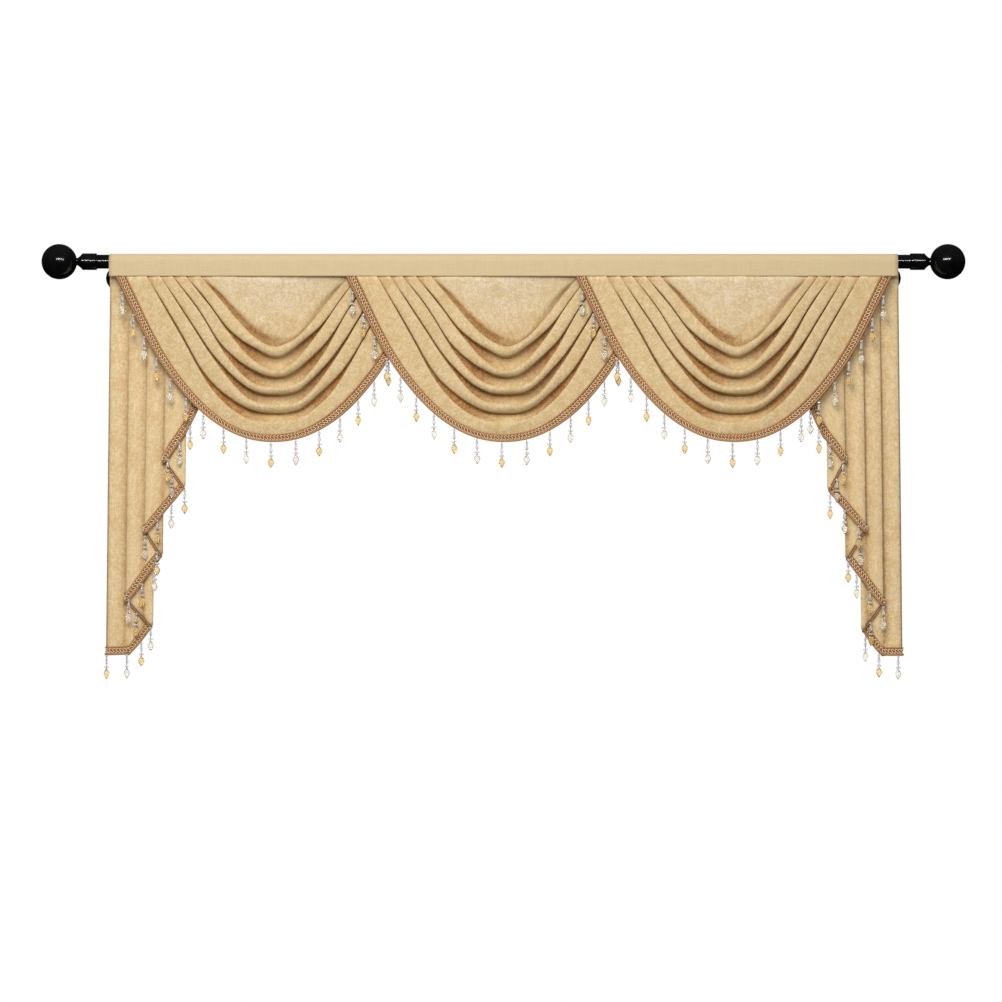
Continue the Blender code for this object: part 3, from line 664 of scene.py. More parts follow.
def weave_group():
    """Warp and weft yarns, uneven along their length. Height is for a bump, Slub is the colour change."""
    inputs = (("Vector", "Vector", None), ("Weft Share", "Float", 0.5))
    tree, given = new_tree("weave", "ShaderNodeTree", inputs, (("Height", "Float"), ("Slub", "Float")))
    yarns = []
    for scale in ((620.0, 26.0, 1.0), (26.0, 620.0, 1.0)):
        long_grain = added(tree, "ShaderNodeMapping", {"Vector": given["Vector"], "Scale": scale})[0]
        yarns.append(noise(tree, long_grain, 1.0, 3.0, 0.6))
    share = given["Weft Share"]
    warp = math_node(tree, "MULTIPLY", yarns[0], math_node(tree, "SUBTRACT", 1.0, share))
    slub = math_node(tree, "ADD", warp, math_node(tree, "MULTIPLY", yarns[1], share))
    grain = noise(tree, given["Vector"], 1500.0, 1.0)
    height = math_node(tree, "ADD", math_node(tree, "MULTIPLY", slub, 2.6), grain)
    added(tree, "NodeGroupOutput", {"Height": height, "Slub": slub})
    return tree


def figure_group():
    """A jacquard's cloudy figures: Mask is golden yarn, Speck the chenille's flecks, Cloud a slow change."""
    inputs = (("Vector", "Vector", None), ("Size", "Float", 70.0))
    outputs = (("Mask", "Float"), ("Speck", "Float"), ("Cloud", "Float"))
    tree, given = new_tree("jacquard figure", "ShaderNodeTree", inputs, outputs)
    broad = math_node(tree, "MULTIPLY", noise(tree, given["Vector"], given["Size"], 3.0, 0.62, 1.8), 0.64)
    fine = math_node(tree, "MULTIPLY", scaled_noise(tree, given, 3.3, 2.0, 0.6, 0.6), 0.36)
    figures = {
        "Mask": remap(tree, math_node(tree, "ADD", broad, fine), 0.42, 0.6),
        "Speck": remap(tree, scaled_noise(tree, given, 5.0, 2.0, 0.6, 0.5), 0.53, 0.64),
        "Cloud": remap(tree, scaled_noise(tree, given, 0.55, 2.0, 0.5, 0.8), 0.46, 0.66),
    }
    added(tree, "NodeGroupOutput", figures)
    return tree


def grain_group():
    """Fine uneven grain for lacquer, thread and glass: Value and Cloud are around 0.5."""
    inputs = (("Vector", "Vector", None), ("Size", "Float", 900.0))
    tree, given = new_tree("fine grain", "ShaderNodeTree", inputs, (("Value", "Float"), ("Cloud", "Float")))
    value = noise(tree, given["Vector"], given["Size"], 3.0, 0.6)
    added(tree, "NodeGroupOutput", {"Value": value, "Cloud": scaled_noise(tree, given, 0.06, 2.0, 0.5)})
    return tree


def material(name, values):
    """A material, its tree and its shader, with the shader's own constants."""
    made = bpy.data.materials.new(name)
    made.use_nodes = True
    shader = made.node_tree.nodes["Principled BSDF"]
    fill(made.node_tree, shader, values)
    return made, made.node_tree, shader


def placed(tree, group, vector, values=()):
    return added(tree, "ShaderNodeGroup", {"Vector": vector, **dict(values)}, node_tree=group)


def grained(tree, groups, size):
    """The fine grain in the piece's own coordinates."""
    vector = added(tree, "ShaderNodeTexCoord")["Object"]
    return placed(tree, groups["grain"], vector, {"Size": size})


def bump(tree, height, distance, strength):
    return added(tree, "ShaderNodeBump", {"Height": height, "Distance": distance, "Strength": strength})[0]


def tinted(tree, colour, name, tint):
    """A colour times a tint, as far as the piece's attribute says."""
    share = added(tree, "ShaderNodeAttribute", attribute_name=name)["Fac"]
    return colour_mix(tree, "MULTIPLY", share, colour, tint)


def cloth_base(name, groups, ground, weft_share, slub_shade):
    """Plain beige cloth: its material, and what its two kinds need of its weave."""
    constants = {
        "Roughness": 0.6,
        "Sheen Weight": 0.1,
        "Sheen Roughness": 0.45,
        "Sheen Tint": (1.0, 0.92, 0.76, 1.0),
        "Specular IOR Level": 0.3,
    }
    made, tree, shader = material(name, constants)
    uv = added(tree, "ShaderNodeUVMap", uv_map="cloth")[0]
    weave = placed(tree, groups["weave"], uv, {"Weft Share": weft_share})
    shade = tuple(slub_shade * part for part in ground)
    colour = colour_mix(tree, "MIX", remap(tree, weave["Slub"], 0.4, 0.6), shade, ground)
    return made, tree, shader, uv, colour, weave["Height"]


def plain_finish(name, groups, ground):
    made, tree, shader, _, colour, height = cloth_base(name, groups, ground, 0.5, 0.92)
    fill(tree, shader, {"Base Color": colour, "Normal": bump(tree, height, 0.2 * MM, 0.35)})
    return made


def jacquard_finish(name, groups, weft_share, ground, figure, fleck, fold, tints):
    """The ground with golden figures and olive flecks, darker and warmer in the folds by painted shade, and
    tinted by its marks, of which the trough and seam marks paint light.
    """
    made, tree, shader, uv, colour, height = cloth_base(name, groups, ground, weft_share, 0.84)
    pattern = placed(tree, groups["figure"], uv)
    for output, blend, most, tint in (
        ("Mask", "MIX", 0.85, figure),
        ("Speck", "MIX", 0.5, fleck),
        ("Cloud", "MULTIPLY", 0.6, (0.94, 0.87, 0.74)),
    ):
        colour = colour_mix(tree, blend, math_node(tree, "MULTIPLY", pattern[output], most), colour, tint)
    for label, tint in tints.items():
        colour = tinted(tree, colour, label, tint)
    # Painted shade: the fold colour darkens and warms the cloth as far as the fold-shade attribute says,
    # mottled by the figure
    painted_fold_shade = added(tree, "ShaderNodeAttribute", attribute_name="painted_fold_shade")["Fac"]
    folds = math_node(tree, "MULTIPLY", painted_fold_shade, remap(tree, pattern["Mask"], 0.0, 1.0, 0.7, 1.0))
    height = math_node(tree, "ADD", height, math_node(tree, "MULTIPLY", pattern["Mask"], 1.2))
    looks = {
        "Base Color": colour_mix(tree, "MULTIPLY", folds, colour, fold),
        "Roughness": remap(tree, pattern["Mask"], 0.0, 1.0, 0.64, 0.5),
        "Normal": bump(tree, height, 0.22 * MM, 0.4),
    }
    fill(tree, shader, looks)
    return made


def thread_finish(name, groups, light, dark, sheen):
    """Shiny viscose thread of uneven tone, with a painted highlight that makes it lighter on its crests."""
    made, tree, shader = material(name, {"Sheen Weight": sheen, "Specular IOR Level": 0.4})
    grain = grained(tree, groups, 1400.0)["Value"]
    looks = {
        "Base Color": colour_mix(tree, "MIX", remap(tree, grain, 0.36, 0.64), dark, light),
        "Roughness": remap(tree, grain, 0.3, 0.7, 0.6, 0.42),
        "Normal": bump(tree, grain, 0.2 * MM, 0.5),
    }
    fill(tree, shader, looks)
    return made


def glass_finish(name, groups, light, dark, transmission, roughness, ends=None):
    """Pressed glass or acrylic with faint clouding inside, and darker at a drop's two ends if told."""
    made, tree, shader = material(name, {"Transmission Weight": transmission, "IOR": 1.52})
    grain = grained(tree, groups, 260.0)["Value"]
    colour = colour_mix(tree, "MIX", remap(tree, grain, 0.35, 0.65), dark, light)
    if ends is not None:
        colour = tinted(tree, colour, "end", ends)
    rough = remap(tree, grain, 0.3, 0.7, roughness, roughness + 0.06)
    fill(tree, shader, {"Base Color": colour, "Roughness": rough})
    return made


def metal_finish(groups):
    """Satin black lacquer on steel, with a fine orange-peel grain and faintly lighter clouds."""
    made, tree, shader = material("black_lacquer", {"Specular IOR Level": 0.8})
    grain = grained(tree, groups, 700.0)
    cloud = remap(tree, grain["Cloud"], 0.35, 0.65)
    looks = {
        "Base Color": colour_mix(tree, "MIX", cloud, (0.0018, 0.0018, 0.002), (0.0036, 0.0036, 0.004)),
        "Roughness": remap(tree, grain["Value"], 0.3, 0.7, 0.13, 0.17),
        "Normal": bump(tree, grain["Value"], 0.03 * MM, 0.1),
    }
    fill(tree, shader, looks)
    return made


def all_finishes():
    groups = {"weave": weave_group(), "figure": figure_group(), "grain": grain_group()}
    made = {
        "heading": plain_finish("heading_cloth", groups, (0.602, 0.466, 0.266)),
        "swag": jacquard_finish(
            "swag_jacquard",
            groups,
            weft_share=0.5,
            ground=(0.725, 0.553, 0.317),
            figure=(0.555, 0.39, 0.174),
            fleck=(0.36, 0.29, 0.17),
            # fold colours the painted shade in the folds; the trough and seam tints are painted light, the
            # panel tint a paler tone
            fold=(0.6, 0.33, 0.1),
            tints={"panel": (1.04, 1.11, 1.37), "trough": (1.08, 1.06, 0.98), "seam": (1.3, 1.3, 1.28)},
        ),
        "jabot": jacquard_finish(
            "jabot_jacquard",
            groups,
            weft_share=0.22,
            ground=(0.81, 0.622, 0.372),
            figure=(0.65, 0.46, 0.21),
            fleck=(0.46, 0.36, 0.2),
            # fold colours the painted shade beside the pleats' folded edges
            fold=(0.62, 0.44, 0.27),
            tints={},
        ),
        "black": metal_finish(groups),
    }
    for name, light, dark, sheen in (
        ("copper", (0.5, 0.25, 0.1), (0.34, 0.155, 0.058), 0.1),
        ("brown", (0.5, 0.24, 0.09), (0.34, 0.14, 0.05), 0.1),
        ("rust", (0.27, 0.12, 0.046), (0.16, 0.068, 0.026), 0.1),
        ("cream", (1.0, 0.77, 0.45), (0.86, 0.56, 0.27), 0.15),
        ("strand", (0.16, 0.13, 0.12), (0.1, 0.08, 0.07), 0.0),
    ):
        made[name] = thread_finish(name + "_thread", groups, light, dark, sheen)
    for name, label, light, dark, transmission, roughness, ends in (
        ("amber", "amber_glass", (1.0, 0.84, 0.5), (0.98, 0.72, 0.32), 0.7, 0.06, (0.62, 0.42, 0.26)),
        ("clear", "clear_glass", (1.0, 0.97, 0.9), (0.96, 0.91, 0.8), 0.7, 0.06, (0.72, 0.66, 0.56)),
        ("seed", "seed_bead_glass", (0.97, 0.95, 0.96), (0.88, 0.85, 0.89), 0.65, 0.1, None),
    ):
        made[name] = glass_finish(label, groups, light, dark, transmission, roughness, ends)
    return made


# Rod and finials, rounder than the part's own


def along_x(name, rings, start, side, finish, replaced):
    """A lathed piece on the rod's line, whose axis is turned from Z to X, away from the middle."""
    points, faces = lathe(rings, TURNED_SIDES)
    turned = [(start + side * z, x - ROD_OUT, y + ROD_UP) for x, y, z in points]
    piece = mesh_piece(name, turned, faces, finish)
    piece.data.set_sharp_from_angle(angle=math.radians(SHARP_FROM))
    dressed(piece, replaced)


def pole_pieces(finish):
    """The rod, with a drawn edge, and two finials: collar, groove, waist and ball."""
    inner = ROD_RADIUS - ROD_EDGE
    length = 2.0 * ROD_HALF
    rings = [(0.0, inner), (ROD_EDGE, ROD_RADIUS), (length - ROD_EDGE, ROD_RADIUS), (length, inner)]
    along_x("rod_tube", rings, -ROD_HALF, 1.0, finish, "rod")

    profile = [(along, COLLAR_RADIUS - inwards) for along, inwards in COLLAR_PROFILE]
    for step in range(1, WAIST_STEPS + 1):
        share = step / WAIST_STEPS
        radius = mix(COLLAR_RADIUS, WAIST_RADIUS, share**WAIST_POWER)
        profile.append((mix(COLLAR_LENGTH, WAIST_START, share), radius))
    start = math.pi - math.asin(WAIST_RADIUS / BALL_RADIUS)
    for step in range(BALL_STEPS):
        turn = start * (1.0 - step / BALL_STEPS)
        profile.append((BALL_CENTRE + BALL_RADIUS * math.cos(turn), BALL_RADIUS * math.sin(turn)))
    profile.append((BALL_CENTRE + BALL_RADIUS, 0.0))
    for word, side in (("left", -1.0), ("right", 1.0)):
        name = "finial_" + word
        along_x(name + "_turned", profile, side * (ROD_HALF + FIT_GAP), side, finish, name)


# Heading


def heading_sleeve(finish):
    """The sleeve: up its front, over the rod and down to the back seam, open behind at both ends."""
    radius = ROD_RADIUS + HEADING_SLACK + CLOTH / 2
    section = []
    for step in range(HEADING_FRONT_STEPS):
        section.append((-radius, SEAM_DOWN * (step / HEADING_FRONT_STEPS - 1.0)))
    for angle in range(180, -1, -HEADING_TURN):
        section.append((radius * math.cos(math.radians(angle)), radius * math.sin(math.radians(angle))))
    cut_row = HEADING_FRONT_STEPS + (180 - BACK_CUT_ANGLE) // HEADING_TURN

    ends = np.array([HEADING_HALF - HEADING_END, HEADING_HALF])
    columns = np.linspace(-BACK_HALF, BACK_HALF, HEADING_COLUMNS)
    columns = np.concatenate([-ends[::-1], columns, ends])
    jabots = np.clip((np.abs(columns) - JABOT_ZONE_FROM) / (JABOT_ZONE_FULL - JABOT_ZONE_FROM), 0.0, 1.0)
    back_seam = mix(BACK_SEAM_AT_SWAGS, BACK_SEAM_AT_JABOTS, jabots)
    level = np.ones_like(columns)
    rows = [(columns, (y - ROD_OUT) * level, (ROD_UP + z) * level) for y, z in section]
    for step in range(1, HEADING_BACK_STEPS + 1):
        share = step / HEADING_BACK_STEPS
        y = -ROD_OUT + mix(radius, back_seam, smooth(share))
        rows.append((columns, y, (ROD_UP - SEAM_DOWN * share) * level))
    grid = np.array(rows).transpose(0, 2, 1)

    normals = -grid_normals(grid)
    loose = np.zeros(grid.shape[:2])
    steps = HEADING_FRONT_STEPS - 1
    loose[1 : HEADING_FRONT_STEPS] = np.sin(np.linspace(0.0, math.pi, steps))[:, None]
    grid = grid - normals * (ripple(3, HEADING_WAVES, grid.shape[:2]) * loose * HEADING_RIPPLE)[..., None]
    last = len(columns) - 2

    def present(row, column):
        return 1 < column < last - 1 or row < cut_row

    u, v = grid_lengths(grid)
    sleeve = cloth_piece("heading_sleeve", grid, normals, CLOTH, finish, (u + HEADING_UV_SHIFT, v), present)
    dressed(sleeve, "heading")


# Swags


def line_height(row, share):
    """The share of a line's drop that is left at this share of the way out, on one smooth curve."""
    knots = (1.0, row[4], row[5], row[6], 0.0)
    between = [(after - before) / 2.0 for before, after in zip(knots, knots[2:])]
    slopes = [0.0, *between, knots[-1] - knots[-2]]
    last = len(knots) - 1
    index = min(int(share * last), last - 1)
    return curve(knots[index], slopes[index], knots[index + 1], slopes[index + 1], share * last - index)


def line_point(line, across):
    """Where a swag's line, counted from 1, passes: X from the middle, its swell, and Z from the seam."""
    row = SWAG_LINES[line - 1]
    half = row[1] if across < 0 else row[2]
    reach = abs(across)
    swell = row[7] * (1.0 - reach * reach) ** 2
    return Vector((row[0] + across * half, swell, -row[3] * line_height(row, reach))) * MM


def plane_point(down, across):
    """The same for any place between lines. Above line 1 lies the flat panel, from the tucked top edge."""
    if down < 1.0:
        low = line_point(1, across)
        place = Vector((low.x * PANEL_TOP_SHARE, 0.0, TUCK)).lerp(low, down)
        place.y = low.y * down * down
        return place
    line = min(int(down), HEM_LINE - 1)
    return line_point(line, across).lerp(line_point(line + 1, across), down - line)


def swag_section(across, is_tuck=False):
    """Points (X, Y, Z) of the cloth's middle from its top edge down to the hem, with each one's depth."""
    edge = OPEN_LEFT if across < 0 else OPEN_RIGHT
    opened = smooth((edge - abs(across)) / OPEN_BLEND)
    loosened = smooth((1.0 - abs(across)) / SEAM_BLEND)
    rows = []

    def add(line, down, depth):
        place = plane_point(line + down, across)
        rows.append((place.x, depth * MM - place.y, place.z, depth * MM))

    def add_all(line, points):
        for _, shut, depth_shut, side, depth_side, wide, depth_wide in points:
            down = mix(mix(shut, side, loosened), wide, opened)
            add(line, down, mix(mix(depth_shut, depth_side, loosened), depth_wide, opened))

    shallower = {"recess": mix(1.0, PANEL_RECESS_AT_RIGHT, smooth(across * PANEL_FADE + 0.5))}
    add_all(0, [(name, *rest, depth * shallower.get(name, 1.0)) for name, *rest, depth in PANEL_POINTS])
    for pleat in range(1, PLEATS - 1):
        add_all(pleat, PLEAT_POINTS)
    faded = []
    for name, *rest, down, depth in PLEAT_POINTS:
        faded.append((name, *rest, FADED_TROUGH_DOWN.get(name, down), FADED_TROUGH_DEPTH.get(name, depth)))
    add_all(PLEATS - 1, faded)
    add_all(PLEATS, LAST_LIP_POINTS)
    add(BRAID_LINE, 0.0, HEM_DEPTH)
    add(HEM_LINE, 0.0, HEM_DEPTH)
    if is_tuck:
        outwards = math.copysign(SHOULDER_OUT, across)
        return [(x + outwards, y, TUCK, depth) for x, y, _, depth in rows]
    return rows


def swag_columns():
    """How far across each column of a swag lies, from -1 to 1, closer together at the sides."""
    share = np.linspace(-1.0, 1.0, SWAG_COLUMNS)
    across = np.sin(share * math.pi / 2.0) * SWAG_CROWDED + share * (1.0 - SWAG_CROWDED)
    return np.concatenate([[-1.0, -BRAID_ENDS_AT], across[1:-1], [BRAID_ENDS_AT, 1.0]])


def swag_marks(across, depth, height):
    """What a swag's finish needs to know: painted shade in its folds, painted light in the troughs amidst
    them, its panel, and painted light under its seam.
    """
    # Painted shade, deeper the farther the cloth lies back in a fold
    painted_fold_shade = np.clip((depth - PAINTED_SHADE_FROM) / PAINTED_SHADE_OVER, 0.0, 1.0)
    panel = np.arange(len(painted_fold_shade))[:, None] < SWAG_STEPS * len(PANEL_POINTS)
    # Painted light: the middle of each trough keeps less painted shade and is tinted lighter
    trough = painted_fold_shade * smooth(1.0 - np.abs(across - PAINTED_LIGHT_MIDDLE) / PAINTED_LIGHT_HALF) * ~panel
    panel_painted_shade = PANEL_PAINTED_SHADE_SHARE * mix(1.0, PANEL_PAINTED_SHADE_AT_RIGHT, smooth(across * PANEL_FADE + 0.4))
    pale = smooth(PANEL_PALE_START - np.arange(len(painted_fold_shade))[:, None] / PANEL_PALE_ROWS)
    return {
        "painted_fold_shade": np.where(panel, painted_fold_shade * panel_painted_shade, painted_fold_shade - trough),
        "trough": trough,
        "panel": pale * np.ones_like(painted_fold_shade),
        # Painted light that lifts the shadow under the heading's seam
        "seam": smooth(1.0 + height / SEAM_PAINTED_LIGHT_OVER),
    }


def swag_piece(swag, finish, seed):
    """One swag's cloth, its flat size and area, its hem and its tassels' roots."""
    name, middle, left_back, right_back = swag
    across = swag_columns()
    sections = [swag_section(float(share)) for share in across]
    sections = [swag_section(-1.0, True), *sections, swag_section(1.0, True)]
    across = np.concatenate([[-1.0], across, [1.0]])
    fine = smooth_curve(np.array(sections).transpose(1, 0, 2), SWAG_STEPS)
    height = fine[..., 2]
    marks = swag_marks(across, fine[..., 3], height)
    back = mix(left_back, right_back, (across + 1.0) / 2.0)
    back = back * (1.0 + BACK_LEAN * smooth(-height / BACK_LEAN_OVER))
    grid = np.stack([fine[..., 0] + middle, fine[..., 1] + SEAM_Y + back, height + SEAM_Z], axis=-1)

    free = np.clip(1.0 - np.abs(across) ** 4, 0.0, 1.0) * np.ones((len(grid), 1))
    free[-SWAG_STEPS - 1 :] = 0.0
    uneven = np.zeros(free.shape)
    for shift, (waves, size) in ((0, SWAG_SOFT), (9, SWAG_CRUMPLE)):
        uneven += ripple(seed + shift, waves, free.shape) * size
    grid = grid + grid_normals(grid) * (uneven * free)[..., None]
    u, v = grid_lengths(grid)
    centre = u[:, u.shape[1] // 2][:, None]
    uv = (u - centre + seed * UV_SHIFT_PER_SEED, v)
    cloth = cloth_piece(name + "_cloth", grid, grid_normals(grid), SHEET, finish, uv, marks=marks)
    hem = swag_hem(grid, across)
    return cloth, (float(u[-1].max()), float(v.max())), sheet_area(grid), hem, swag_roots(swag, hem, across)


# Jabots


def layer_pitch(drop):
    """How far apart the layers hang at this height below the seam."""
    share = np.clip(drop / JABOT_DROP, 0.0, 1.0)
    return LAYER_PITCH_TOP + LAYER_PITCH_MORE * share**LAYER_PITCH_POWER


def jabot_columns(points):
    """Columns as (out, hem drop, layer, out_in_turn_radii): straight runs with a round turn at each fold."""
    columns = []
    layer = 0
    last = len(points) - 1
    for index in range(last):
        out, drop, fold = points[index]
        next_out, next_drop, next_fold = points[index + 1]
        direction = math.copysign(1.0, next_out - out)
        for step in range(JABOT_RUN_STEPS + 1):
            share = step / JABOT_RUN_STEPS
            shift = direction * ((1.0 - share) * fold - share * next_fold)
            columns.append((mix(out, next_out, share) * MM, mix(drop, next_drop, share) * MM, layer, shift))
        if not next_fold:
            if index + 1 < last:
                columns.pop()
            continue
        for step in range(1, JABOT_TURN_STEPS):
            turn = math.pi * step / JABOT_TURN_STEPS
            risen = layer + (1.0 - math.cos(turn)) / 2.0
            columns.append((next_out * MM, next_drop * MM, risen, direction * (math.sin(turn) - 1.0)))
        layer += 1
    return np.array(columns)


def jabot_surface(jabot, columns, drop):
    """Points of the jabot at heights below the seam, with a soft swell in every pleat, and its shade."""
    _, side, outer, _, _, points = jabot
    below = np.clip(drop, 0.0, None) / JABOT_DROP
    out = columns[:, 0] + columns[:, 3] * layer_pitch(drop) / 2.0
    folds = [place[0] * MM for place in points if place[2]]
    edges = [0.0, *folds[1::2], INNER_PLEAT_END]
    swell = np.zeros_like(out)
    for edge, end in zip(edges, edges[1:]):
        bulge = np.sin(np.pi * np.clip((out - edge) / (end - edge), 0.0, 1.0) ** PLEAT_SWELL_POWER)
        swell = np.maximum(swell, np.where((out >= edge) & (out < end), bulge, 0.0))
    reach = np.clip(drop / PLEAT_SWELL_OVER, 0.0, 1.0)
    reach = reach * mix(PLEAT_SWELL_AT_TOP, 1.0, np.clip(below, 0.0, 1.0))
    depth = JABOT_BACK + JABOT_LEAN * smooth(drop / JABOT_LEAN_OVER)
    depth = depth + (JABOT_LAYERS - columns[:, 2]) * layer_pitch(drop) - PLEAT_SWELL * swell * reach
    x = side * (outer + JABOT_FLARE * below**JABOT_FLARE_POWER - out)
    shade = (1.0 - swell) ** PLEAT_SHADE_POWER * reach
    return np.stack([x, SEAM_Y + np.maximum(depth, 0.0), SEAM_Z - drop, shade], axis=-1)


def jabot_piece(jabot, finish, seed):
    """The same for one jabot."""
    name, side = jabot[:2]
    columns = jabot_columns(jabot[5])
    drops = [np.full(len(columns), -TUCK)]
    drops += [columns[:, 1] * row / JABOT_ROWS for row in range(JABOT_ROWS + 1)]
    rows = np.array([jabot_surface(jabot, columns, drop) for drop in drops])
    grid = rows[..., :3].copy()
    loose = np.clip((SEAM_Z - grid[..., 2]) / JABOT_LOOSE_OVER, 0.0, 1.0)
    grid[..., 1] += ripple(seed, JABOT_WAVES, grid.shape[:2]) * loose * JABOT_RIPPLE
    normals = grid_normals(grid) * -side
    u, v = grid_lengths(grid)
    # The pleats' shade, painted into the cloth's colour near their folded edges
    marks = {"painted_fold_shade": rows[..., 3]}
    cloth = cloth_piece(name + "_cloth", grid, normals, SHEET, finish, (u + seed, v), marks=marks)
    flat = (float(u.max()), float(v.max()))
    return cloth, flat, sheet_area(grid), jabot_hem(jabot, columns), jabot_roots(jabot)


# Braids


def swag_hem(grid, across):
    """The braid's inner and outer line on the swag, and the cloth's normal there."""
    keep = np.abs(across) <= BRAID_ENDS_AT
    inner = grid[-1 - SWAG_STEPS][keep]
    outer = grid[-1][keep]
    normal = unit(np.cross(outer - inner, np.gradient(outer, axis=0)))
    return inner, outer + unit(outer - inner) * BRAID_PAST_HEM, normal


def jabot_hem(jabot, columns):
    """The same for a jabot, through its folds."""
    step = np.abs(np.gradient(columns[:, 1]))
    run = np.maximum(np.abs(np.gradient(columns[:, 0])), LEAST_RUN * step)
    slope = np.clip(step / np.maximum(run, 1e-6), 0.0, STEEPEST_HEM)
    slope = np.convolve(np.pad(slope, 2, mode="edge"), np.ones(5) / 5, mode="valid")
    steeper = np.sqrt(1.0 + slope**2)
    band = (BRAID_WIDTH + BRAID_PAST_HEM - JABOT_BRAID_PAST_HEM) * steeper
    top = jabot_surface(jabot, columns, columns[:, 1] - band)[:, :3]
    foot = jabot_surface(jabot, columns, columns[:, 1] + JABOT_BRAID_PAST_HEM * steeper)[:, :3]
    down = np.array([0.0, 0.0, -1.0])
    normal = unit(np.cross(down, np.gradient(foot, axis=0) * np.array([1.0, 1.0, 0.0]))) * -jabot[1]
    return top, foot, normal


def facing(along, normal):
    """Euler angles that turn X along a line and Z out of the cloth."""
    turns = []
    for x_axis, z_axis in zip(unit(along), unit(normal)):
        x_axis = Vector(x_axis)
        y_axis = Vector(z_axis).cross(x_axis).normalized()
        axes = Matrix((x_axis, y_axis, x_axis.cross(y_axis)))
        turns.append(tuple(axes.transposed().to_euler("XYZ")))
    return turns


def loop_shape():
    """One loop of cream thread, a tube with few sides."""
    up = Vector((0, 0, 1))
    waves = [LOOP_WAVE * math.sin(i * LOOP_WAVE_TURN) for i in range(len(LOOP_LINE))]
    line = [Vector((x * MM, y * MM, wave)) for (x, y), wave in zip(LOOP_LINE, waves)]
    points = []
    for index, place in enumerate(line):
        along = (line[min(index + 1, len(line) - 1)] - line[max(index - 1, 0)]).normalized()
        across = up.cross(along).normalized()
        for side in range(LOOP_SIDES):
            turn = math.tau * (side + 0.5) / LOOP_SIDES
            points.append(place + (across * math.cos(turn) + up * math.sin(turn)) * LOOP_RADIUS)
    faces = [tuple(range(LOOP_SIDES)), tuple(range(len(points) - LOOP_SIDES, len(points)))]
    for low in range(0, len(points) - LOOP_SIDES, LOOP_SIDES):
        high = low + LOOP_SIDES
        for side in range(LOOP_SIDES):
            after = (side + 1) % LOOP_SIDES
            faces.append((low + side, low + after, high + after, high + side))
    return mesh_piece("loop_shape", points, faces)


def loop_places(middle, normal):
    """Even places along the braid's middle, each with the line's direction and the cloth's normal."""
    steps = np.linalg.norm(np.diff(middle, axis=0), axis=1)
    along = np.concatenate([[0.0], np.cumsum(steps)])
    places = np.arange(LOOP_PITCH / 2, along[-1], LOOP_PITCH)
    ways = np.gradient(middle, axis=0) / np.maximum(np.gradient(along)[:, None], 1e-9)
    found = []
    for rows in (middle, ways, normal):
        found.append(np.stack([np.interp(places, along, rows[:, axis]) for axis in range(3)], axis=1))
    return found


def braid_pieces(name, hem, shapes, trees, finishes):
    """The braid along one hem: base, outer cord, inner cord and loops."""
    inner, outer, normal = hem
    count = len(inner)
    edges = [(inner, BRAID_NEAR), (inner, BRAID_FAR), (outer, BRAID_FAR), (outer, BRAID_NEAR)]
    points = np.concatenate([line + normal * lift for line, lift in edges])
    faces = [(0, count, 2 * count, 3 * count), (4 * count - 1, 3 * count - 1, 2 * count - 1, count - 1)]
    for index in range(count - 1):
        for ring in range(4):
            a = ring * count + index
            b = (ring + 1) % 4 * count + index
            faces.append((a, a + 1, b + 1, b))
    made = [mesh_piece(name + "_braid_base", points, faces, finishes["rust"])]
    for label, share, radius, lift, strands, twist, finish in CORDS:
        path = inner + (outer - inner) * share + normal * (BRAID_FAR + lift)
        values = {
            "Radius": radius,
            "Strands": strands,
            "Strand Depth": STRAND_DEPTH,
            "Twist Length": twist,
            "Step": twist / STEPS_PER_TWIST,
            "Sides": CORD_SIDES,
            "Finish": finishes[finish],
        }
        line = bare_mesh(label, path, zip(range(count - 1), range(1, count)))
        made.append(grown(name + "_" + label, line, trees["cord"], values))
    middle = inner + (outer - inner) * LOOP_AT + normal * (BRAID_FAR + LOOP_LIFT)
    places, directions, normals = loop_places(middle, normal)
    turns = facing(directions, normals)
    loop = (shapes["loop"], trees["copies"], finishes["cream"])
    made.append(copies(name + "_loops", places, turns, *loop, smallest=0.96, largest=1.06, seed=5))
    return made


# Tassels


def in_mm(rings):
    return [(z * MM, radius * MM) for z, radius in rings]


def tassel_shapes():
    """The drop, the seed beads and the pin of one tassel, about its own axis."""
    drop_points, drop_faces = lathe(in_mm(DROP_RINGS), DROP_SIDES)
    ends = [float(abs(point[2] - DROP_MIDDLE) > DROP_CLEAR_HALF) for point in drop_points]
    seed_points = []
    seed_faces = []
    for rings in SEED_BEADS:
        points, faces = lathe(in_mm(rings), BEAD_SIDES)
        seed_faces += [tuple(len(seed_points) + corner for corner in face) for face in faces]
        seed_points += points
    return {
        "drop": mesh_piece("drop_shape", drop_points, drop_faces, marks={"end": ends}, is_smooth=False),
        "seeds": mesh_piece("seed_shape", seed_points, seed_faces),
        "pin": mesh_piece("pin_shape", *lathe(in_mm(PIN_RINGS), PIN_SIDES)),
    }


def tassel_pieces(name, roots, first_is_amber, shapes, trees, finishes, seed):
    """Pins, seed beads, and amber and clear drops by turns along one hem."""
    chance = random.Random(seed)
    turns = [(0.0, 0.0, chance.uniform(0.0, math.tau)) for _ in roots]
    every = slice(None)
    amber = slice(0 if first_is_amber else 1, None, 2)
    clear = slice(1 if first_is_amber else 0, None, 2)
    made = []
    for label, shape, finish, chosen in (
        ("pins", "pin", "strand", every),
        ("seed_beads", "seeds", "seed", every),
        ("amber_drops", "drop", "amber", amber),
        ("clear_drops", "drop", "clear", clear),
    ):
        bead = (shapes[shape], trees["copies"], finishes[finish])
        made.append(copies(name + "_" + label, roots[chosen], turns[chosen], *bead, seed=seed))
    return made


